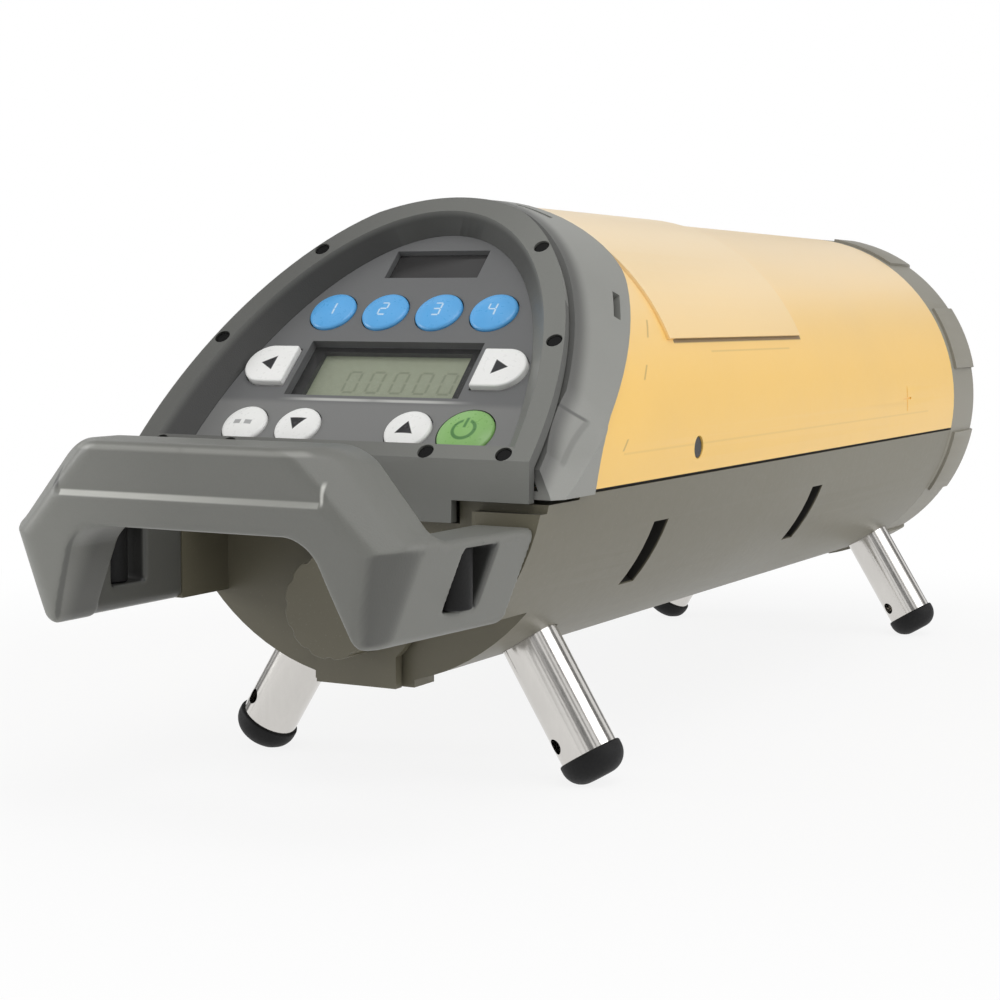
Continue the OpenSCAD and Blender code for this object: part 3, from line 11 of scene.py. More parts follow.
import bmesh
import bpy
import numpy as np
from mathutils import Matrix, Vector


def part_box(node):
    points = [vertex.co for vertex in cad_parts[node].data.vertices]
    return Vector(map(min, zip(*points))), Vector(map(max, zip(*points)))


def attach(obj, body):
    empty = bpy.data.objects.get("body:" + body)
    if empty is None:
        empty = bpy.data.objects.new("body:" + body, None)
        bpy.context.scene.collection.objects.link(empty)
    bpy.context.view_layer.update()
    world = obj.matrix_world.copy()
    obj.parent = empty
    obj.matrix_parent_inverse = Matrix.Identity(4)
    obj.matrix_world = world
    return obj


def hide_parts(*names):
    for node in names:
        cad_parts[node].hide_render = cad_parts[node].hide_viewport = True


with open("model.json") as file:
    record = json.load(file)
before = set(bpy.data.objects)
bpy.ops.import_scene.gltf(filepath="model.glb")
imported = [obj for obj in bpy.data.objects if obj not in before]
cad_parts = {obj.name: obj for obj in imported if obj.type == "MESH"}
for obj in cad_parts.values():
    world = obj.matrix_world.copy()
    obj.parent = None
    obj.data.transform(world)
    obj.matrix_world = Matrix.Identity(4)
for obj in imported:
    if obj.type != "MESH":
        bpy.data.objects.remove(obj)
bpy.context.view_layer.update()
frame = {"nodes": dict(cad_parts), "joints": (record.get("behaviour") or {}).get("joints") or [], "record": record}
nodes = frame["nodes"]
slot_of = {row["node"]: row["material_slot"] for row in frame["record"]["subparts"]}
body_of = {node: body for body, members in frame["record"]["behaviour"]["bodies"].items() for node in members}
MM = 0.001
glass_low, glass_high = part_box("window_glass")
AXIS_Z = (glass_low[2] + glass_high[2]) / 2

# %% [markdown]
# ## The panel's own axes
# The keys slide square to a sloping panel. A key's joint gives that direction, so the panel's three axes,
# across, up the slope and out of it, are read from the frame and not written down again.

# %% Panel axes
press = next(j for j in frame["joints"] if j["name"] == "power_key_press")["axis"]
OUT = -np.array(press)
ACROSS = np.array((1.0, 0.0, 0.0))
UP_SLOPE = np.cross(OUT, ACROSS)
PANEL_AXES = np.stack((ACROSS, UP_SLOPE, OUT))
slope = math.atan2(UP_SLOPE[2], UP_SLOPE[1])


def points_of(mesh):
    """All vertices of a mesh as one array of x, y, z rows."""
    flat = np.empty(len(mesh.vertices) * 3, np.float32)
    mesh.vertices.foreach_get("co", flat)
    return flat.reshape(-1, 3)


def panel_middle(node):
    """Middle of a node along the panel's axes, brought back to x, y, z."""
    local = points_of(nodes[node].data) @ PANEL_AXES.T
    return (local.min(0) + local.max(0)) / 2 @ PANEL_AXES


print("slope of the panel", round(math.degrees(slope), 2), "degrees")

# %% [markdown]
# ## Camera
# The photograph was taken from behind and to the right, a little above the handle. Its ellipses and long
# edges fix the distance, so the lens and the place are kept together.

# %% Camera
camera_data = bpy.data.cameras.new("photo_camera")
camera_data.lens = 74.87
camera_data.sensor_width = 36
camera = bpy.data.objects.new("photo_camera", camera_data)
camera.location = (0.2709, -0.5854, 0.1202)
camera.rotation_euler = (math.radians(84.82), math.radians(-0.25), math.radians(27.58))
bpy.context.scene.collection.objects.link(camera)
bpy.context.scene.camera = camera
print("camera", tuple(round(x, 4) for x in camera.location))

# %% [markdown]
# ## Arithmetic on sockets
# A finish is a small sum: a grain here, a stain there. Wrapping a node's output in a class lets that sum be
# written as Python, and each operator adds the node that does it.


# %% Sockets
class Socket:
    """One output of a node, on which arithmetic adds Math nodes."""

    def __init__(self, tree, out=None):
        self.tree = tree
        self.out = out

    def node(self, kind, settings=(), inputs=(), out=0):
        """Adds a node of this kind: settings first, then a value or a link for each named socket."""
        made = self.tree.nodes.new(kind)
        for name, value in dict(settings).items():
            setattr(made, name, value)
        for name, value in dict(inputs).items():
            if isinstance(value, Socket):
                self.tree.links.new(value.out, made.inputs[name])
            else:
                made.inputs[name].default_value = value
        return Socket(self.tree, made.outputs[out])

    def math(self, operation, first, second=0.0):
        return self.node("ShaderNodeMath", {"operation": operation}, {0: first, 1: second})

    def __add__(self, other):
        return self.math("ADD", self, other)

    def __sub__(self, other):
        return self.math("SUBTRACT", self, other)

    def __rsub__(self, other):
        return self.math("SUBTRACT", other, self)

    def __mul__(self, other):
        return self.math("MULTIPLY", self, other)

    def __truediv__(self, other):
        return self.math("DIVIDE", self, other)

    def __gt__(self, other):
        return self.math("GREATER_THAN", self, other)

    def __abs__(self):
        return self.math("ABSOLUTE", self)

    def least(self, other):
        return self.math("MINIMUM", self, other)

    def most(self, other):
        return self.math("MAXIMUM", self, other)

    def step(self, low, high):
        """0 below low, 1 above high, and a smooth rise between them."""
        return self.node("ShaderNodeMapRange", {"interpolation_type": "SMOOTHSTEP"},
                         {"Value": self, "From Min": low, "From Max": high})

    __radd__ = __add__
    __rmul__ = __mul__


def parts(vector):
    """The three numbers of a vector socket."""
    return [vector.node("ShaderNodeSeparateXYZ", (), {0: vector}, out) for out in range(3)]


def blend(mask, first, second):
    """Colour that goes from first to second as mask goes from 0 to 1."""
    return mask.node("ShaderNodeMix", {"data_type": "RGBA"}, {0: mask, 6: first, 7: second}, 2)


def noise(coords, scale, detail=2.0):
    return coords.node("ShaderNodeTexNoise", (), {"Vector": coords, "Scale": scale, "Detail": detail})


def new_finish(name):
    """A material, its object coordinates and its shader node."""
    material = bpy.data.materials.new(name)
    material.use_nodes = True
    tree = material.node_tree
    coords = Socket(tree).node("ShaderNodeTexCoord", out="Object")
    return material, coords, tree.nodes["Principled BSDF"]


def set_surface(shader, **values):
    """Sets or links the shader's sockets, named with underscores for spaces."""
    for name, value in values.items():
        socket = shader.inputs[name.replace("_", " ")]
        if isinstance(value, Socket):
            value.tree.links.new(value.out, socket)
        else:
            socket.default_value = value


def bumps(height, depth, normal=None):
    """Normal of a surface whose height varies from 0 to 1 over a depth in metres."""
    inputs = {"Height": height, "Distance": depth}
    if normal:
        inputs["Normal"] = normal
    return height.node("ShaderNodeBump", (), inputs, "Normal")


def facing(coords, direction, which="Normal"):
    """Cosine between the surface's normal and a direction, which may be a socket too."""
    normal = coords.node("ShaderNodeNewGeometry", out=which)
    inputs = {0: normal, 1: direction}
    return coords.node("ShaderNodeVectorMath", {"operation": "DOT_PRODUCT"}, inputs, "Value")


def rgb(red, green, blue):
    return (red, green, blue, 1.0)


def shaded(colour, factor):
    return tuple(c * factor for c in colour[:3]) + (1.0,)


# %% [markdown]
# ## Finishes
# Four finishes carry the picture: moulded grey plastic with a spark-eroded grain, a warm yellow paint, a
# brown-grey paint on the lower casting, and polished metal. Each has a large, faint change of tone, because a
# single colour looks like a drawing, and a fine grain that breaks up the highlights.


# %% Plastic, paint and rubber
def moulded(name, colour, roughness=0.5, grain=2600.0, depth=0.00003, tint=None):
    """Moulded plastic: fine grain from the mould, faint flow marks and slightly uneven gloss.

    A tint takes the coordinates and the plain colour and gives the colour that is seen."""
    material, coords, shader = new_finish(name)
    flow = noise(coords, 14.0, 3.0).step(0.3, 0.7)
    pits = noise(coords, grain, 1.0)
    tone = blend(flow * 0.5 + pits * 0.5, shaded(colour, 0.92), shaded(colour, 1.08))
    set_surface(shader, Base_Color=tint(coords, tone) if tint else tone,
                Roughness=roughness + (flow - 0.5) * 0.06 + (pits - 0.5) * 0.08, Normal=bumps(pits, depth))
    return material


def rubber(name, colour=rgb(0.01, 0.01, 0.0105)):
    """Black rubber: matt, with dust in its pores."""
    material, coords, shader = new_finish(name)
    pores = noise(coords, 1500.0, 2.0)
    dust = noise(coords, 60.0, 4.0).step(0.5, 0.8)
    set_surface(shader, Base_Color=blend(dust * 0.3, colour, rgb(0.03, 0.03, 0.029)), Specular_IOR_Level=0.25,
                Roughness=0.5 + pores * 0.2, Normal=bumps(pores, 0.00004))
    return material


def metal(name, colour, roughness, scale=(900.0, 900.0, 25.0)):
    """Bare metal with the fine lines that a tool or a brush leaves along one direction."""
    material, coords, shader = new_finish(name)
    stretched = coords.node("ShaderNodeMapping", (), {"Vector": coords, "Scale": scale})
    lines = noise(stretched, 1.0, 3.0)
    wear = noise(coords, 40.0, 3.0).step(0.35, 0.75)
    set_surface(shader, Base_Color=blend(lines * 0.5 + wear * 0.5, shaded(colour, 0.9), shaded(colour, 1.05)),
                Metallic=1.0, Roughness=roughness + (lines - 0.5) * 0.1 + wear * 0.04,
                Normal=bumps(lines, 0.000006))
    return material


def film(name):
    """Thin clear window in front of a display: a weak gloss that lets light and sight through."""
    material, coords, shader = new_finish(name)
    wipes = noise(coords, 120.0, 3.0).step(0.4, 0.8)
    set_surface(shader, Base_Color=rgb(0.5, 0.5, 0.5), Roughness=0.08 + wipes * 0.05,
                Alpha=0.03 + wipes * 0.02)
    return material


def clear(name, tint, roughness=0.02):
    """Clear glass or plastic, with a trace of wiping marks in its gloss."""
    material, coords, shader = new_finish(name)
    wipes = noise(coords, 120.0, 3.0).step(0.4, 0.8)
    set_surface(shader, Base_Color=blend(wipes, tint, shaded(tint, 0.96)), Roughness=roughness + wipes * 0.03,
                Transmission_Weight=1.0, IOR=1.45)
    return material


# %% [markdown]
# ## Paint on a round body
# On the body a place is best named by its distance from the axis, because a raised pad and a cut slot differ
# from the plain surface only in that. The same mask then paints a paler sheen on the pad and painted shade into
# the slots. The long thin triangles of a cylinder also leave streaks in its shading, so where a face lies on a
# cylinder round the axis the normal is taken from the formula and not from the mesh.


# %% Body paint
def round_the_axis(coords):
    """Distance from the body's axis, place along it and height above it, in mm."""
    x, y, z = parts(coords)
    side, height = x / MM, (z - AXIS_Z) / MM
    return coords.math("SQRT", side * side + height * height), y / MM, height


def round_normal(coords):
    """Normal (x, 0, z) / |(x, 0, z)| about the axis where the face agrees with it, else the mesh's own."""
    x, _, z = parts(coords)
    outward = coords.node("ShaderNodeCombineXYZ", (), {0: x, 2: z - AXIS_Z})
    outward = coords.node("ShaderNodeVectorMath", {"operation": "NORMALIZE"}, {0: outward})
    own = coords.node("ShaderNodeNewGeometry", out="Normal")
    on_cylinder = facing(coords, outward, "True Normal") > 0.9975
    return coords.node("ShaderNodeMix", {"data_type": "VECTOR"}, {0: on_cylinder, 4: own, 5: outward}, 1)


def painted(name, colour, roughness, coat):
    """Sprayed paint: a slow change of tone, the ripple of spray and a few paler specks."""
    material, coords, shader = new_finish(name)
    cloud = noise(coords, 9.0, 4.0).step(0.3, 0.7)
    ripple = noise(coords, 420.0, 1.0)
    specks = noise(coords, 1900.0, 2.0).step(0.66, 0.74)
    tone = blend(cloud, shaded(colour, 0.97), shaded(colour, 1.03))
    tone = blend(specks * 0.08, tone, rgb(0.9, 0.86, 0.78))
    set_surface(shader, Roughness=roughness + (cloud - 0.5) * 0.05 + (ripple - 0.5) * 0.06,
                Normal=bumps(ripple, 0.00002, round_normal(coords)), Coat_Weight=coat, Coat_Roughness=0.3)
    return material, coords, shader, tone


def between(value, low, high, soft=0.25):
    """1 between two values, with soft ends."""
    return value.step(low - soft, low + soft) * (1.0 - value.step(high - soft, high + soft))


# Places on the cover in mm: radii, heights above the axis and ends along it
SHEEN_HEIGHTS = (12.0, 58.0)
PAD_RADII = (61.2, 61.8)
PAD_EDGE, PAD_ENDS = (24.4, 25.6), (-74.0, 26.0)
CREASE, CREASE_ENDS = (-2.7, -2.2), (-117.0, 150.0)
SECOND_LINE, SECOND_ENDS = (21.7, 22.1), (-50.0, 13.0)
DASHES, DASH_SEAM = ((26.0, 30.5), (15.4, 19.1), (-1.7, 1.1)), (-116.2, -115.2)

# Places on the casting in mm: radii inside which a slot is cut, and ends along the axis
SLOT_RADII = (60.3, 60.8)
CASTING_ENDS = (-150.0, 130.0)
SHELF_ENDS = (-140.0, -134.0)
REAR_WALL = (-134.0, -132.0)


def cover_paint():
    """Yellow paint, with a painted sheen that pales it on top and most of all on the raised pad.

    Painted shadow runs under the pad's edge and along a crease over the parting line; dark dashes mark the seam."""
    material, coords, shader, tone = painted("yellow_paint", rgb(0.93, 0.58, 0.13), 0.4, 0.3)
    radius, along, height = round_the_axis(coords)
    # Painted sheen of the overhead light: paler towards the top, and paler again on the raised pad.
    tone = blend(height.step(*SHEEN_HEIGHTS) * 0.75, tone, rgb(0.93, 0.75, 0.5))
    tone = blend(radius.step(*PAD_RADII) * 0.35, tone, rgb(0.92, 0.75, 0.5))
    # Painted shadow under the pad's lower edge, and painted shade along a crease over the parting line.
    joint = between(height, *PAD_EDGE) * between(along, *PAD_ENDS)
    crease = between(height, *CREASE) * between(along, *CREASE_ENDS) * 0.12
    second = between(height, *SECOND_LINE) * between(along, *SECOND_ENDS) * 0.25
    shade_and_marks = joint.most(crease).most(second)
    seam = between(along - height, *DASH_SEAM) * 0.45
    for dash in DASHES:
        shade_and_marks = shade_and_marks.most(between(height, *dash) * seam)
    set_surface(shader, Base_Color=blend(shade_and_marks, tone, rgb(0.22, 0.13, 0.03)))
    return material


def casting_paint():
    """Brown-grey paint with painted shade: darker to the rear and on the shelf under the panel, black in the
    slots.
    """
    material, coords, shader, tone = painted("lower_paint", rgb(0.158, 0.145, 0.1), 0.45, 0.1)
    radius, along, _ = round_the_axis(coords)
    # Painted shade, darker towards the rear.
    tone = blend((1.0 - along.step(*CASTING_ENDS)) * 0.2, tone, rgb(0.05, 0.045, 0.03))
    # Painted shade on the shelf under the panel.
    shelf = facing(coords, (0.0, 0.0, 1.0)).step(0.5, 0.9) * (1.0 - along.step(*SHELF_ENDS))
    tone = blend(shelf * 0.6, tone, rgb(0.03, 0.028, 0.025))
    # Painted shade, near black, inside the cut slots.
    slots = (1.0 - radius.step(*SLOT_RADII)) * along.step(*REAR_WALL)
    set_surface(shader, Base_Color=blend(slots, tone, rgb(0.012, 0.011, 0.009)))
    return material


# %% [markdown]
# ## Shade on the control end
# The walls of the recess that look away from the light are painted nearly black. The band is the frame's grey
# plastic with a paler base, which is painted light, and it gets painted shade next to the groove and along the
# edge of its finger scoop. The panel folds below the display, and gets painted light there and a painted
# highlight on the fold. All are laid out along the panel's own axes.


# %% Tints along the panel
# Places on the control end in mm: across the panel, up its slope and out of it, from the panel's middle
LEFT_WALL, UPPER_WALL, RECESS_TOP = (-4.0, 14.0), (-8.0, 8.0), (7.5, 9.5)
DARK_RIM, PALE_RIM, RIM_HALF = (-44.0, 10.0), (5.0, 44.0), 46.5
GROOVE = (0.5, 4.5)
FOLD, RIDGE = (-23.5, -21.0), (-21.8, -20.9)
RIDGE_MIDDLE, RIDGE_HALF = 2.0, 22.0
# How far a wall has to turn to its dark side, as a cosine
TURNED = (0.12, 0.55)
# Edge of the finger scoop on the band, as places along the axis and heights above it
SCOOP_TOP, SCOOP_CORNER, SCOOP_FOOT = (-149.4, 16.5), (-135.7, 6.4), (-149.8, -3.2)


def panel_places(coords, node):
    """Millimetres from a node's middle: across the panel, up its slope and out of it."""
    return parts(coords.node("ShaderNodeMapping", {"vector_type": "TEXTURE"}, {
        "Vector": coords, "Location": tuple(panel_middle(node)), "Rotation": (slope, 0.0, 0.0),
        "Scale": (MM, MM, MM)}))


def stroke(u, v, start, end, half):
    """1 on the line from start to end, up to half its width to each side, with soft borders."""
    length = math.dist(start, end)
    along = ((end[0] - start[0]) / length, (end[1] - start[1]) / length)
    way = (u - start[0]) * along[0] + (v - start[1]) * along[1]
    off = (v - start[1]) * along[0] - (u - start[0]) * along[1]
    return between(way, 0.0, length, 1.0) * between(off, -half, half, 0.3)


def recess_shade(coords, tone):
    """Painted shade on the recess's left and upper walls, which face right or down the slope, and on the left rim.
    """
    u, v, out = panel_places(coords, "control_panel")
    # Painted shade on the left rim.
    tone = blend((1.0 - u.step(*DARK_RIM)) * 0.45, tone, rgb(0.05, 0.05, 0.047))
    # Painted light on the right rim.
    tone = blend(u.step(*PALE_RIM) * 0.2, tone, rgb(0.35, 0.357, 0.33))
    # Painted shade on the frame's outer sides, down by the groove.
    outer = (1.0 - facing(coords, tuple(OUT)).step(0.25, 0.7)) * (abs(u) > RIM_HALF)
    tone = blend(outer * 0.6, tone, rgb(0.02, 0.02, 0.019))
    left = facing(coords, tuple(ACROSS)).step(*TURNED) * (1.0 - u.step(*LEFT_WALL))
    upper = facing(coords, tuple(-UP_SLOPE)).step(*TURNED) * v.step(*UPPER_WALL)
    inside = 1.0 - out.step(*RECESS_TOP)
    return blend((left * 0.9).most(upper * 0.7) * inside, tone, rgb(0.02, 0.02, 0.019))


def groove_shade(coords, tone):
    """Darkens the band where it dips to the groove round the frame, and the edge of its finger scoop."""
    _, _, out = panel_places(coords, "control_panel")
    _, along, height = round_the_axis(coords)
    scoop = stroke(along, height, SCOOP_TOP, SCOOP_CORNER, 0.45)
    scoop = scoop.most(stroke(along, height, SCOOP_CORNER, SCOOP_FOOT, 0.6) * 0.4)
    shade = rgb(0.05, 0.05, 0.048)
    return blend(out.step(*GROOVE) * 0.75, blend(scoop * 0.7, tone, shade), shade)


def fold_light(coords, tone):
    """Painted light below the display, and a painted highlight on the fold's ridge, longest in the middle."""
    u, v, _ = panel_places(coords, "control_panel")
    # Painted light below the fold.
    tone = blend((1.0 - v.step(*FOLD)) * 0.45, tone, rgb(0.27, 0.27, 0.26))
    # Painted highlight along the fold's ridge.
    ridge = between(v, *RIDGE) * between(abs(u - RIDGE_MIDDLE), -1.0, RIDGE_HALF, 8.0)
    return blend(ridge * 0.75, tone, rgb(0.6, 0.6, 0.57))


finishes = {
    "grey_plastic": moulded("grey_moulding", rgb(0.185, 0.187, 0.17), 0.42),
    "lower_paint": casting_paint(),
    "yellow_paint": cover_paint(),
    "black_rubber": rubber("black_rubber"),
    "black_screw": metal("blackened_screw", rgb(0.02, 0.02, 0.02), 0.25, (600.0, 600.0, 600.0)),
    "panel_face": moulded("panel_face", rgb(0.14, 0.142, 0.143), 0.5, 3200.0, tint=fold_light),
    "dark_window": moulded("dark_filter", rgb(0.036, 0.035, 0.035), 0.15, 900.0, 0.000004),
    "display_glass": film("display_glass"),
    "lcd": moulded("lcd_frame", rgb(0.3, 0.33, 0.24), 0.3),
    "board": moulded("board_mask", rgb(0.03, 0.16, 0.07), 0.4, 500.0),
    "blue_key": moulded("blue_key", rgb(0.07, 0.33, 0.7), 0.25, 900.0, 0.000005),
    "white_key": moulded("white_key", rgb(0.8, 0.8, 0.78), 0.28, 900.0, 0.000005),
    "green_key": moulded("green_key", rgb(0.22, 0.5, 0.13), 0.25, 900.0, 0.000005),
    "strap_black": rubber("strap_black", rgb(0.006, 0.006, 0.006)),
    "leg_metal": metal("polished_leg", rgb(0.68, 0.66, 0.63), 0.14),
    "brass": metal("turned_brass", rgb(0.72, 0.52, 0.22), 0.28),
    "bare_aluminium": metal("milled_aluminium", rgb(0.7, 0.7, 0.71), 0.36, (40.0, 700.0, 700.0)),
    "black_anodised": metal("black_anodised", rgb(0.045, 0.045, 0.05), 0.34, (700.0, 40.0, 700.0)),
    "steel": metal("plated_steel", rgb(0.6, 0.6, 0.6), 0.3),
    "clear_glass": clear("coated_glass", rgb(0.86, 0.93, 0.95)),
    "cell_wrap": moulded("cell_wrap", rgb(0.1, 0.12, 0.14), 0.25, 700.0),
    "dark_plastic": moulded("dark_plastic", rgb(0.06, 0.06, 0.06), 0.5),
}
for name, node in nodes.items():
    node.data.materials.clear()
    node.data.materials.append(finishes[slot_of[name]])
print("finishes", len(finishes))

# %% [markdown]
# ## Printed keys and display
# A print is a region of the panel. Each mark is a small field over the panel's own millimetres, positive
# inside the mark, and a step turns it into ink. Triangles, bars and a ring are enough for plain arrows,
# numbers and a power sign.


# %% Marks
def bar(u, v, middle, half):
    """Upright rectangle: the least of half_u - |u - u0| and half_v - |v - v0|."""
    return (half[0] - abs(u - middle[0])).least(half[1] - abs(v - middle[1]))


def arrow(along, across, size):
    """Triangle that points along the first direction."""
    return (along + size).least((size - along) * 0.62 - abs(across))


SEGMENTS = {"a": ((0, 1), (0.42, 0.1)), "b": ((0.5, 0.5), (0.1, 0.42)), "c": ((0.5, -0.5), (0.1, 0.42)),
            "d": ((0, -1), (0.42, 0.1)), "e": ((-0.5, -0.5), (0.1, 0.42)), "f": ((-0.5, 0.5), (0.1, 0.42)),
            "g": ((0, 0), (0.42, 0.1))}
NUMBERS = {0: "abcdef", 1: "bc", 2: "abged", 3: "abgcd", 4: "fgbc"}


def number(u, v, value, size):
    """A number from seven bars, as displays write it, with half its height as size."""
    mark = None
    for name in NUMBERS[value]:
        middle, half = SEGMENTS[name]
        piece = bar(u / size, v / size, middle, half)
        mark = piece if mark is None else mark.most(piece)
    return mark * size


def power_sign(u, v, size):
    """An open ring with an upright bar in its gap."""
    ring = 0.45 - abs(u.math("SQRT", u * u + v * v) - size)
    gap = bar(u, v, (0.0, size), (1.0, 1.6))
    return ring.least(gap * -1.0).most(bar(u, v, (0.0, size * 0.75), (0.38, size * 0.6)))


def printed(node, colour, ink, draw):
    """Key cap in one colour with a mark, which draw gives as a field of u and v."""
    material, coords, shader = new_finish("printed_" + node)
    u, v, _ = panel_places(coords, node)
    grain = noise(coords, 900.0, 1.0)
    slow = noise(coords, 90.0, 2.0)
    tone = blend(slow, shaded(colour, 0.95), shaded(colour, 1.04))
    tone = blend(draw(u, v).step(-0.15, 0.15), tone, ink)
    set_surface(shader, Base_Color=tone, Roughness=0.24 + grain * 0.1, Normal=bumps(grain, 0.000004))
    return material


WHITE, BLUE, GREEN = rgb(0.9, 0.9, 0.88), rgb(0.11, 0.42, 0.82), rgb(0.26, 0.5, 0.16)
BLACK_INK, PALE_INK, GREEN_INK = rgb(0.02, 0.02, 0.022), rgb(0.62, 0.78, 0.92), rgb(0.09, 0.24, 0.07)
own_finish = {
    "left_key": printed("left_key", WHITE, BLACK_INK, lambda u, v: arrow(u * -1.0, v, 2.0)),
    "right_key": printed("right_key", WHITE, BLACK_INK, lambda u, v: arrow(u, v, 2.0)),
    "up_key": printed("up_key", WHITE, BLACK_INK, lambda u, v: arrow(v, u, 2.0)),
    "down_key": printed("down_key", WHITE, BLACK_INK, lambda u, v: arrow(v * -1.0, u, 2.0)),
    "mode_key": printed("mode_key", WHITE, rgb(0.4, 0.4, 0.4),
                        lambda u, v: bar(abs(abs(u) - 1.6), v, (0.0, 0.0), (1.0, 0.7))),
    "power_key": printed("power_key", GREEN, GREEN_INK, lambda u, v: power_sign(u, v, 2.9)),
}
for digit in range(1, 5):
    key = "function_key_%d" % digit
    own_finish[key] = printed(key, BLUE, PALE_INK, lambda u, v, digit=digit: number(u, v, digit, 2.1))


# %% Display
# Places on the display in mm: the floor of its pocket, and the pitch, size and middle of the row of zeros
POCKET_FLOOR = (0.4, 0.5)
ZERO_PITCH, ZERO_SIZE, ROW_MIDDLE, ROW_DROP = 7.0, 3.6, 3.5, 1.0


def display_face(node):
    """Black frame round a grey-green face with a row of five unlit zeros.

    One zero is drawn in a cell as wide as the pitch, and the remainder of u over the pitch repeats it."""
    material, coords, shader = new_finish("display_face")
    u, v, out = panel_places(coords, node)
    face = 1.0 - out.step(*POCKET_FLOOR)
    cell = u.math("FLOORED_MODULO", u, ZERO_PITCH) - ZERO_PITCH / 2
    row = number(cell, v + ROW_DROP, 0, ZERO_SIZE).least(2.5 * ZERO_PITCH - abs(u - ROW_MIDDLE))
    grain = noise(coords, 700.0, 2.0)
    glass = blend(grain, rgb(0.27, 0.3, 0.21), rgb(0.33, 0.36, 0.26))
    glass = blend(row.step(-0.2, 0.25) * 0.42, glass, rgb(0.1, 0.12, 0.07))
    set_surface(shader, Base_Color=blend(face, rgb(0.008, 0.008, 0.008), glass), Roughness=0.35 + grain * 0.1)
    return material


nodes["lcd_module"].data.materials[0] = display_face("lcd_module")
# One grey plastic: the frame's darker base is painted shade, and the band's paler base painted light.
own_finish["panel_frame"] = moulded("frame_moulding", rgb(0.15, 0.152, 0.14), 0.45, tint=recess_shade)
own_finish["control_housing"] = moulded("band_moulding", rgb(0.275, 0.277, 0.258), 0.45, tint=groove_shade)
own_finish["front_cap"] = moulded("cap_moulding", rgb(0.27, 0.255, 0.21), 0.5)
print("finishes of single nodes", len(own_finish))

# %% [markdown]
# ## Rounded edges
# CAD edges are knife sharp, and no moulded or cast edge is. A copy of each visible solid is welded, its flat
# faces are joined and its sharp edges get a bevel of the radius that the real edge has. A bevel was chosen
# over a remesh because it keeps the bores, the seams and the flat faces exact. The panel plate keeps its CAD
# mesh, because joining its flat faces would close the opening of the display.


# %% Copies with rounded edges
def stand_for(piece, node, material):
    """Lets a piece ride with a node's body and take the node's place."""
    piece.data.materials.clear()
    piece.data.materials.append(material)
    bpy.context.scene.collection.objects.link(piece)
    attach(piece, body_of[node])
    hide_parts(node)
    return piece


def rounded(node, radius, angle=32.0, segments=3):
    """Copy of a CAD node that stands for it, with edges sharper than the angle rounded to the radius."""
    mesh = nodes[node].data.copy()
    work = bmesh.new()
    work.from_mesh(mesh)
    bmesh.ops.remove_doubles(work, verts=work.verts, dist=0.002 * MM)
    bmesh.ops.dissolve_limit(work, angle_limit=math.radians(0.4), verts=work.verts, edges=work.edges)
    work.to_mesh(mesh)
    work.free()
    mesh.name = "rounded_" + node
    piece = bpy.data.objects.new("rounded_" + node, mesh)
    mesh.polygons.foreach_set("use_smooth", np.ones(len(mesh.polygons), bool))
    mesh.set_sharp_from_angle(angle=math.radians(angle))
    bevel = piece.modifiers.new("edge", "BEVEL")
    bevel.width = radius
    bevel.segments = segments
    bevel.limit_method = "ANGLE"
    bevel.angle_limit = math.radians(angle)
    bevel.harden_normals = True
    bevel.use_clamp_overlap = True
    return stand_for(piece, node, own_finish.get(node, finishes[slot_of[node]]))


# Radius in mm of the edges of each piece that is seen
edge_radii = {
    "panel_frame": 1.8, "control_housing": 1.6, "top_cover": 0.5, "lower_housing": 0.6, "front_cap": 1.2,
    "battery_holder": 0.8, "lock_knob": 0.6, "window_bezel": 0.6, "strap_posts": 0.6,
    "sensor_window": 0.2, "frame_screws": 0.35, "cover_screws": 0.4,
}
for side in ("rear_left", "rear_right", "front_left", "front_right"):
    edge_radii["leg_" + side] = 0.5
    edge_radii["foot_" + side] = 0.6
keys = [name for name in nodes if name.endswith("_key") or name.startswith("function_key")]
edge_radii.update({key: 1.2 for key in keys})
pieces = {node: rounded(node, radius * MM) for node, radius in edge_radii.items()}
print("rounded pieces", len(pieces))

# %% [markdown]
# ## A soft solid from a distance field
# The handle is a moulding without one sharp edge: planes that melt into each other. A distance field is
# negative inside, zero on the skin and positive outside, so a cut is the maximum of two fields and a joint
# the minimum. A rounded maximum gives every edge its radius, also where several edges meet, and there the
# bands of a bevel would collide.


# %% Fields
def beyond(u, v, a, b):
    """Distance of (u, v) from the line through a and b, positive on the left of the way from a to b.

    d = ((u - a_u) (a_v - b_v) + (v - a_v) (b_u - a_u)) / |b - a|
    """
    return ((u - a[0]) * (a[1] - b[1]) + (v - a[1]) * (b[0] - a[0])) / math.hypot(b[0] - a[0], b[1] - a[1])


def cut(a, b, radius):
    """What lies in both fields, with the common edge rounded.

    d = min(max(a, b), -r) + sqrt(max(a + r, 0)^2 + max(b + r, 0)^2)
    """
    both = np.hypot(np.maximum(a + radius, 0), np.maximum(b + radius, 0))
    return np.minimum(np.maximum(a, b), -radius) + both


def join(a, b, radius):
    """What lies in either field, with a hollow of the radius in the corner between them."""
    return -cut(-a, -b, radius)


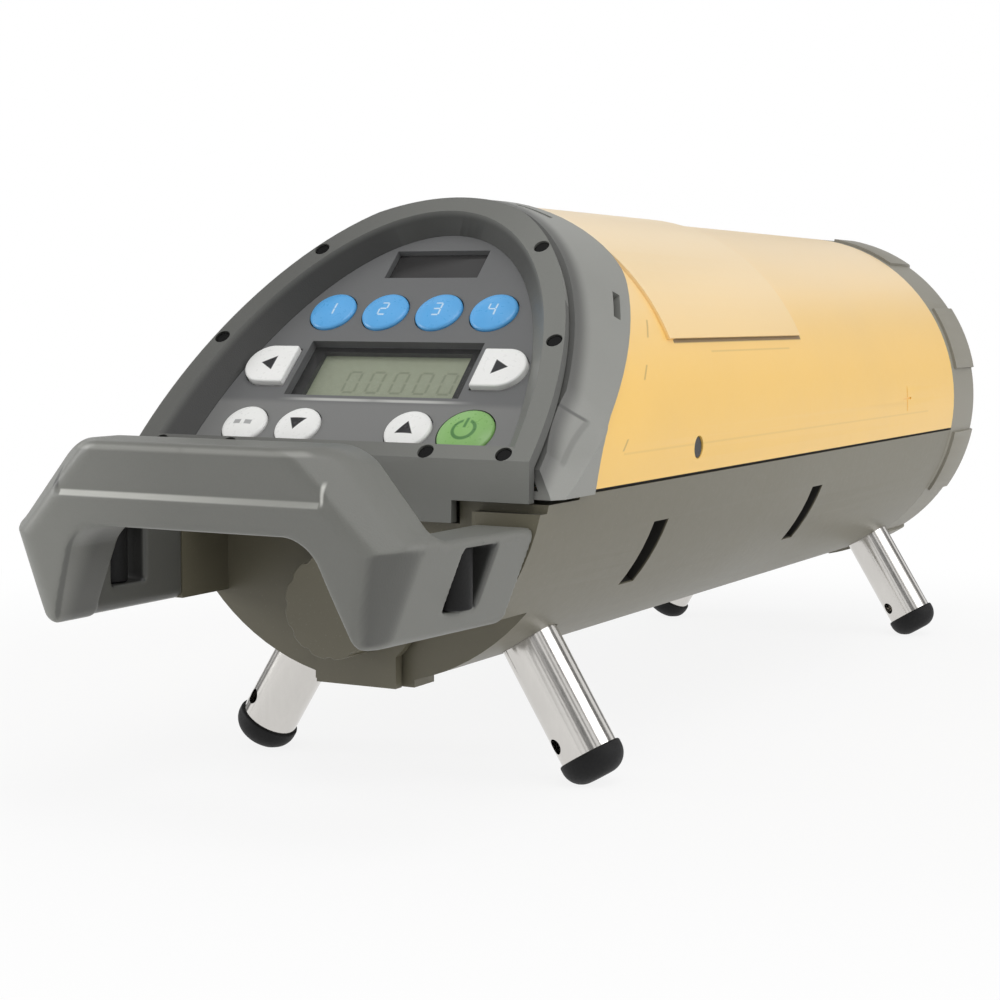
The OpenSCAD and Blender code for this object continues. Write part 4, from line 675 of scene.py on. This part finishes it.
def skin(field, cell):
    """Vertices, in cells, and quads of the zero level of a sampled field, by surface nets.

    A cell whose corners differ in sign gets one vertex, the mean of the places i + f_i / (f_i - f_j) where
    its edges cross zero. Each crossed edge gives the quad of the four cells round it.
    """
    shape = tuple(n - 1 for n in field.shape)
    total = np.zeros(shape + (3,), np.float32)
    count = np.zeros(shape, np.float32)
    sides = []
    for axis in range(3):
        f = np.moveaxis(field, axis, 0)
        crossed = (f[:-1] < 0) != (f[1:] < 0)
        share = np.where(crossed, f[:-1] / np.where(crossed, f[:-1] - f[1:], 1), 0)
        sums, hits = np.moveaxis(total, axis, 0), np.moveaxis(count, axis, 0)
        others = [a for a in range(3) if a != axis]
        rows, columns = crossed.shape[1] - 1, crossed.shape[2] - 1
        for j in (0, 1):
            for k in (0, 1):
                here = crossed[:, j:j + rows, k:k + columns]
                hits += here
                sums[..., axis] += share[:, j:j + rows, k:k + columns]
                sums[..., others[0]] += here * j
                sums[..., others[1]] += here * k
        sides.append((crossed, f[:-1] < 0))
    number_of = np.cumsum(count > 0).reshape(shape) - 1
    cells = np.argwhere(count > 0)
    points = cells + total[count > 0] / count[count > 0][:, None]
    quads = []
    for axis, (crossed, inside) in enumerate(sides):
        ids = np.moveaxis(number_of, axis, 0)
        i, j, k = np.nonzero(crossed[:, 1:-1, 1:-1])
        quad = np.stack((ids[i, j, k], ids[i, j + 1, k], ids[i, j + 1, k + 1], ids[i, j, k + 1]), 1)
        turned = inside[i, j + 1, k + 1] == (axis == 1)
        quad[turned] = quad[turned, ::-1]
        quads.append(quad)
    return points * cell, np.concatenate(quads)


def new_mesh(name, points, quads):
    """Smooth mesh from arrays of vertices and quads."""
    mesh = bpy.data.meshes.new(name)
    mesh.vertices.add(len(points))
    mesh.vertices.foreach_set("co", np.ascontiguousarray(points, np.float32).ravel())
    mesh.loops.add(quads.size)
    mesh.loops.foreach_set("vertex_index", np.ascontiguousarray(quads, np.int32).ravel())
    mesh.polygons.add(len(quads))
    mesh.polygons.foreach_set("loop_start", np.arange(0, quads.size, 4, dtype=np.int32))
    mesh.polygons.foreach_set("use_smooth", np.ones(len(quads), bool))
    mesh.update(calc_edges=True)
    return mesh


# %% Handle
# Sizes of the handle in mm: x to the side, y forward from its rear face and z up from the body's axis. A pair
# of points is a line: (x, z) for the shoulder, the flank and the gap, (y, z) for the two that lean.
BAR_TOP, BAR_UNDER, BAR_DEPTH = 3.6, -15.9, 22.0
ARM_TOP, ARM_LOW, ARM_IN, ARM_REAR, ARM_FRONT = -17.0, -40.0, 41.5, 9.0, 58.0
LEDGE, STEP_HALF = -8.4, 35.4
SHOULDER = (36.0, BAR_TOP), (54.5, -18.5)
FLANK, FLANK_OUT, FLANK_TAPER = ((0.0, ARM_TOP), (-8.9, ARM_LOW)), 58.5, 0.085
REAR_LEAN = (7.1, ARM_LOW), (0.0, LEDGE)
STEP_LEAN = (0.3, 2.0), (2.8, LEDGE)
GAP_SIDE = (31.0, BAR_UNDER), (40.2, ARM_LOW)
SLANT_SIDE, SLANT_REAR = 8.7, 10.5
# Strap window as (y, z)
WINDOW_MIDDLE, WINDOW_HALF = (36.4, -26.6), (6.4, 7.2)
# Way that the slant at the right end of the bar faces
SLANT_FACES = (0.716, -0.64, -0.277)
HANDLE_CELL = 0.6


def handle_field(x, y, z):
    """Distance in mm from a leaning bar on two arms, with a hand gap, two strap windows and a shallow step.

    Both halves share one side, |x|. The slant that cuts the corners between rear and sides is the face
    1 + s / SLANT_SIDE - y / SLANT_REAR = 0, where s is the distance from the sides, negative inside.
    """
    x = abs(x)
    upper = beyond(x, z, *SHOULDER)
    outer = beyond(x - FLANK_OUT + FLANK_TAPER * (ARM_FRONT - y), z, *FLANK)
    rear = cut(-y, beyond(y, z, *REAR_LEAN), 6.0)
    bar = cut(cut(upper, z - BAR_TOP, 4.5), rear, 2.4)
    bar = cut(bar, y - BAR_DEPTH, 3.0)
    gap = cut(beyond(x, z, *GAP_SIDE), z - BAR_UNDER, 6.0)
    bar = cut(bar, -gap, 1.6)
    arm = cut(cut(z - ARM_TOP, ARM_IN - x, 1.6), ARM_REAR - y, 1.0)
    solid = cut(join(bar, arm, 3.0), outer, 2.6)
    side = cut(upper, outer, 2.0)
    slant = (1.0 + side / SLANT_SIDE - y / SLANT_REAR) / math.hypot(1 / SLANT_SIDE, 1 / SLANT_REAR)
    solid = cut(solid, slant, 2.4)
    solid = cut(solid, ARM_LOW - z, 2.5)
    solid = np.maximum(solid, y - ARM_FRONT)
    window_y = abs(y - WINDOW_MIDDLE[0]) - WINDOW_HALF[0]
    window_z = abs(z - WINDOW_MIDDLE[1]) - WINDOW_HALF[1]
    solid = cut(solid, -cut(window_y, window_z, 1.2), 1.2)
    step = cut(cut(LEDGE - z, x - STEP_HALF, 0.4), beyond(y, z, *STEP_LEAN), 0.2)
    return cut(solid, -step, 1.5)


handle_low, handle_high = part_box("handle")
handle_rear = handle_low[1]


def handle_shade(coords, tone):
    """Painted highlights on the ledge and top edge; painted shade on the right slant, in the arms and windows."""
    x, y, z = parts(coords)
    across, side, back, up = x / MM, abs(x) / MM, (y - handle_rear) / MM, (z - AXIS_Z) / MM
    pale, dark = rgb(0.75, 0.75, 0.7), rgb(0.02, 0.02, 0.02)
    # Painted light on the handle's left, and painted shade on its right.
    tone = blend((1.0 - across.step(-50.0, 0.0)) * 0.12, tone, rgb(0.5, 0.5, 0.46))
    tone = blend(across.step(-30.0, 10.0) * 0.12, tone, dark)
    # Painted shade on the slant at the right end of the bar.
    tone = blend(facing(coords, SLANT_FACES).step(0.84, 0.97) * 0.45, tone, dark)
    # Painted shade on the inner faces of the arms.
    inward = facing(coords, tuple(ACROSS)) * x.math("SIGN", x) * -1.0
    tone = blend(inward.step(0.35, 0.8) * back.step(6.0, 14.0) * 0.65, tone, rgb(0.03, 0.03, 0.026))
    # Painted shade inside the strap windows.
    window = between(abs(back - WINDOW_MIDDLE[0]), -1.0, WINDOW_HALF[0] + 0.2)
    window = window * between(abs(up - WINDOW_MIDDLE[1]), -1.0, WINDOW_HALF[1] + 0.2)
    tone = blend(window * 0.9, tone, rgb(0.01, 0.01, 0.01))
    # Painted highlights along the top edge and the ledge, and a painted glint on the step's right end.
    rear = 1.0 - back.step(4.0, 6.0)
    edge = between(up, BAR_TOP - 2.0, BAR_TOP - 0.9, 0.4) * between(side, -1.0, 35.0, 3.0) * 0.2
    ledge = between(up, LEDGE - 0.8, LEDGE + 0.5) * between(side, -1.0, STEP_HALF - 0.8)
    ledge = ledge * (0.3 + 0.4 * (1.0 - across.step(-30.0, 30.0)))
    glint = between(up, LEDGE, LEDGE + 4.4, 0.8) * between(across, STEP_HALF - 0.5, STEP_HALF + 0.2) * 0.7
    tone = blend(edge.most(ledge).most(glint) * rear, tone, pale)
    # Painted shade on the step's left end.
    end = between(up, LEDGE + 0.9, LEDGE + 5.9, 1.0) * between(across, -STEP_HALF - 1.8, -STEP_HALF + 0.2)
    return blend(end * rear * 0.7, tone, rgb(0.03, 0.03, 0.03))


grid_start = np.array(handle_low) / MM - 2 * HANDLE_CELL
grid_stop = np.array(handle_high) / MM + 2 * HANDLE_CELL
x, y, z = (np.arange(a, b, HANDLE_CELL, dtype=np.float32) for a, b in zip(grid_start, grid_stop))
field = handle_field(x[:, None, None], y[None, :, None] - handle_rear / MM, z[None, None, :] - AXIS_Z / MM)
points, quads = skin(field, HANDLE_CELL)
soft_handle = bpy.data.objects.new("soft_handle", new_mesh("soft_handle", (points + grid_start) * MM, quads))
stand_for(soft_handle, "handle", moulded("handle_moulding", rgb(0.185, 0.187, 0.17), 0.42, tint=handle_shade))
print("handle quads", len(quads))

# %% [markdown]
# ## Floor and light
# The floor is so white that it only keeps a breath of shadow, as on a light table. Soft lamps stand above, to
# the right and to the left, and none behind the camera, so the faces toward it are the darkest. The world
# shows dark screens to mirrors alone, and they draw the streaks on the legs.


# %% Floor
FLOOR_HALF = 6.0
# Share of plain white in the floor near the object, and the distances in metres over which it rises to all
NEAR_WHITE, WHITE_RISE = 0.86, (0.18, 0.4)


def floor_finish():
    """White floor: it takes a faint shadow near the object and fades to plain white further out."""
    material, coords, shader = new_finish("white_floor")
    tree = material.node_tree
    x, y, _ = parts(coords)
    out = coords.math("SQRT", x * x + y * y)
    grain = noise(coords, 300.0, 2.0)
    set_surface(shader, Base_Color=blend(grain, rgb(0.84, 0.84, 0.84), rgb(0.86, 0.86, 0.86)), Roughness=0.7)
    rays = {name: coords.node("ShaderNodeLightPath", out=name)
            for name in ("Is Camera Ray", "Is Glossy Ray", "Is Transmission Ray")}
    seen = rays["Is Camera Ray"].most(rays["Is Glossy Ray"]).most(rays["Is Transmission Ray"])
    glow = coords.node("ShaderNodeEmission", (), {"Color": rgb(1.0, 1.0, 1.0)})
    share = seen * (NEAR_WHITE + (1.0 - NEAR_WHITE) * out.step(*WHITE_RISE))
    mix = tree.nodes.new("ShaderNodeMixShader")
    tree.links.new(share.out, mix.inputs[0])
    tree.links.new(shader.outputs[0], mix.inputs[1])
    tree.links.new(glow.out, mix.inputs[2])
    tree.links.new(mix.outputs[0], tree.nodes["Material Output"].inputs["Surface"])
    return material


floor_mesh = bpy.data.meshes.new("floor")
corners = [(x * FLOOR_HALF, y * FLOOR_HALF, 0.0) for x, y in ((-1, -1), (1, -1), (1, 1), (-1, 1))]
floor_mesh.from_pydata(corners, [], [(0, 1, 2, 3)])
floor = bpy.data.objects.new("floor", floor_mesh)
floor_mesh.materials.append(floor_finish())
bpy.context.scene.collection.objects.link(floor)


# %% Lamps and world
def lamp(name, spot, target, size, power):
    """A square soft lamp at a spot, turned to a target."""
    data = bpy.data.lights.new(name, "AREA")
    data.shape = "SQUARE"
    data.size = size
    data.energy = power
    made = bpy.data.objects.new(name, data)
    made.location = spot
    toward = np.array(target) - np.array(spot)
    made.rotation_euler = (math.acos(-toward[2] / np.linalg.norm(toward)), 0.0,
                           math.atan2(toward[1], toward[0]) - math.pi / 2)
    bpy.context.scene.collection.objects.link(made)


lamp("overhead", spot=(0.37, -0.5, 1.2), target=(0.0, -0.13, 0.1), size=0.8, power=5.5)
lamp("side_right", spot=(1.25, 0.2, 0.6), target=(0.0, 0.0, 0.08), size=0.9, power=5.0)
lamp("side_left", spot=(-1.2, -0.65, 0.45), target=(0.0, -0.1, 0.08), size=0.5, power=5.0)

# Strength of the world: behind a dark screen in a mirror, and on matt faces
SCREEN_DARK, FILL = 0.2, 0.5
world = bpy.data.worlds.new("white_room")
bpy.context.scene.world = world
world.use_nodes = True
tree = world.node_tree
ground = Socket(tree)
rays = {name: ground.node("ShaderNodeLightPath", out=name)
        for name in ("Is Camera Ray", "Is Glossy Ray", "Is Transmission Ray")}
direction = ground.node("ShaderNodeTexCoord", out="Generated")
screens = noise(direction, 4.2, 1.0).step(0.46, 0.54)
mirrored = rays["Is Glossy Ray"] * (SCREEN_DARK + (1.0 - SCREEN_DARK) * screens)
backdrop = tree.nodes["Background"]
backdrop.inputs["Color"].default_value = rgb(1.0, 1.0, 1.0)
seen = rays["Is Camera Ray"].most(rays["Is Transmission Ray"])
strength = seen + (1.0 - seen) * (mirrored + (1.0 - rays["Is Glossy Ray"]) * FILL)
tree.links.new(strength.out, backdrop.inputs["Strength"])
bpy.context.scene.view_settings.view_transform = "Standard"
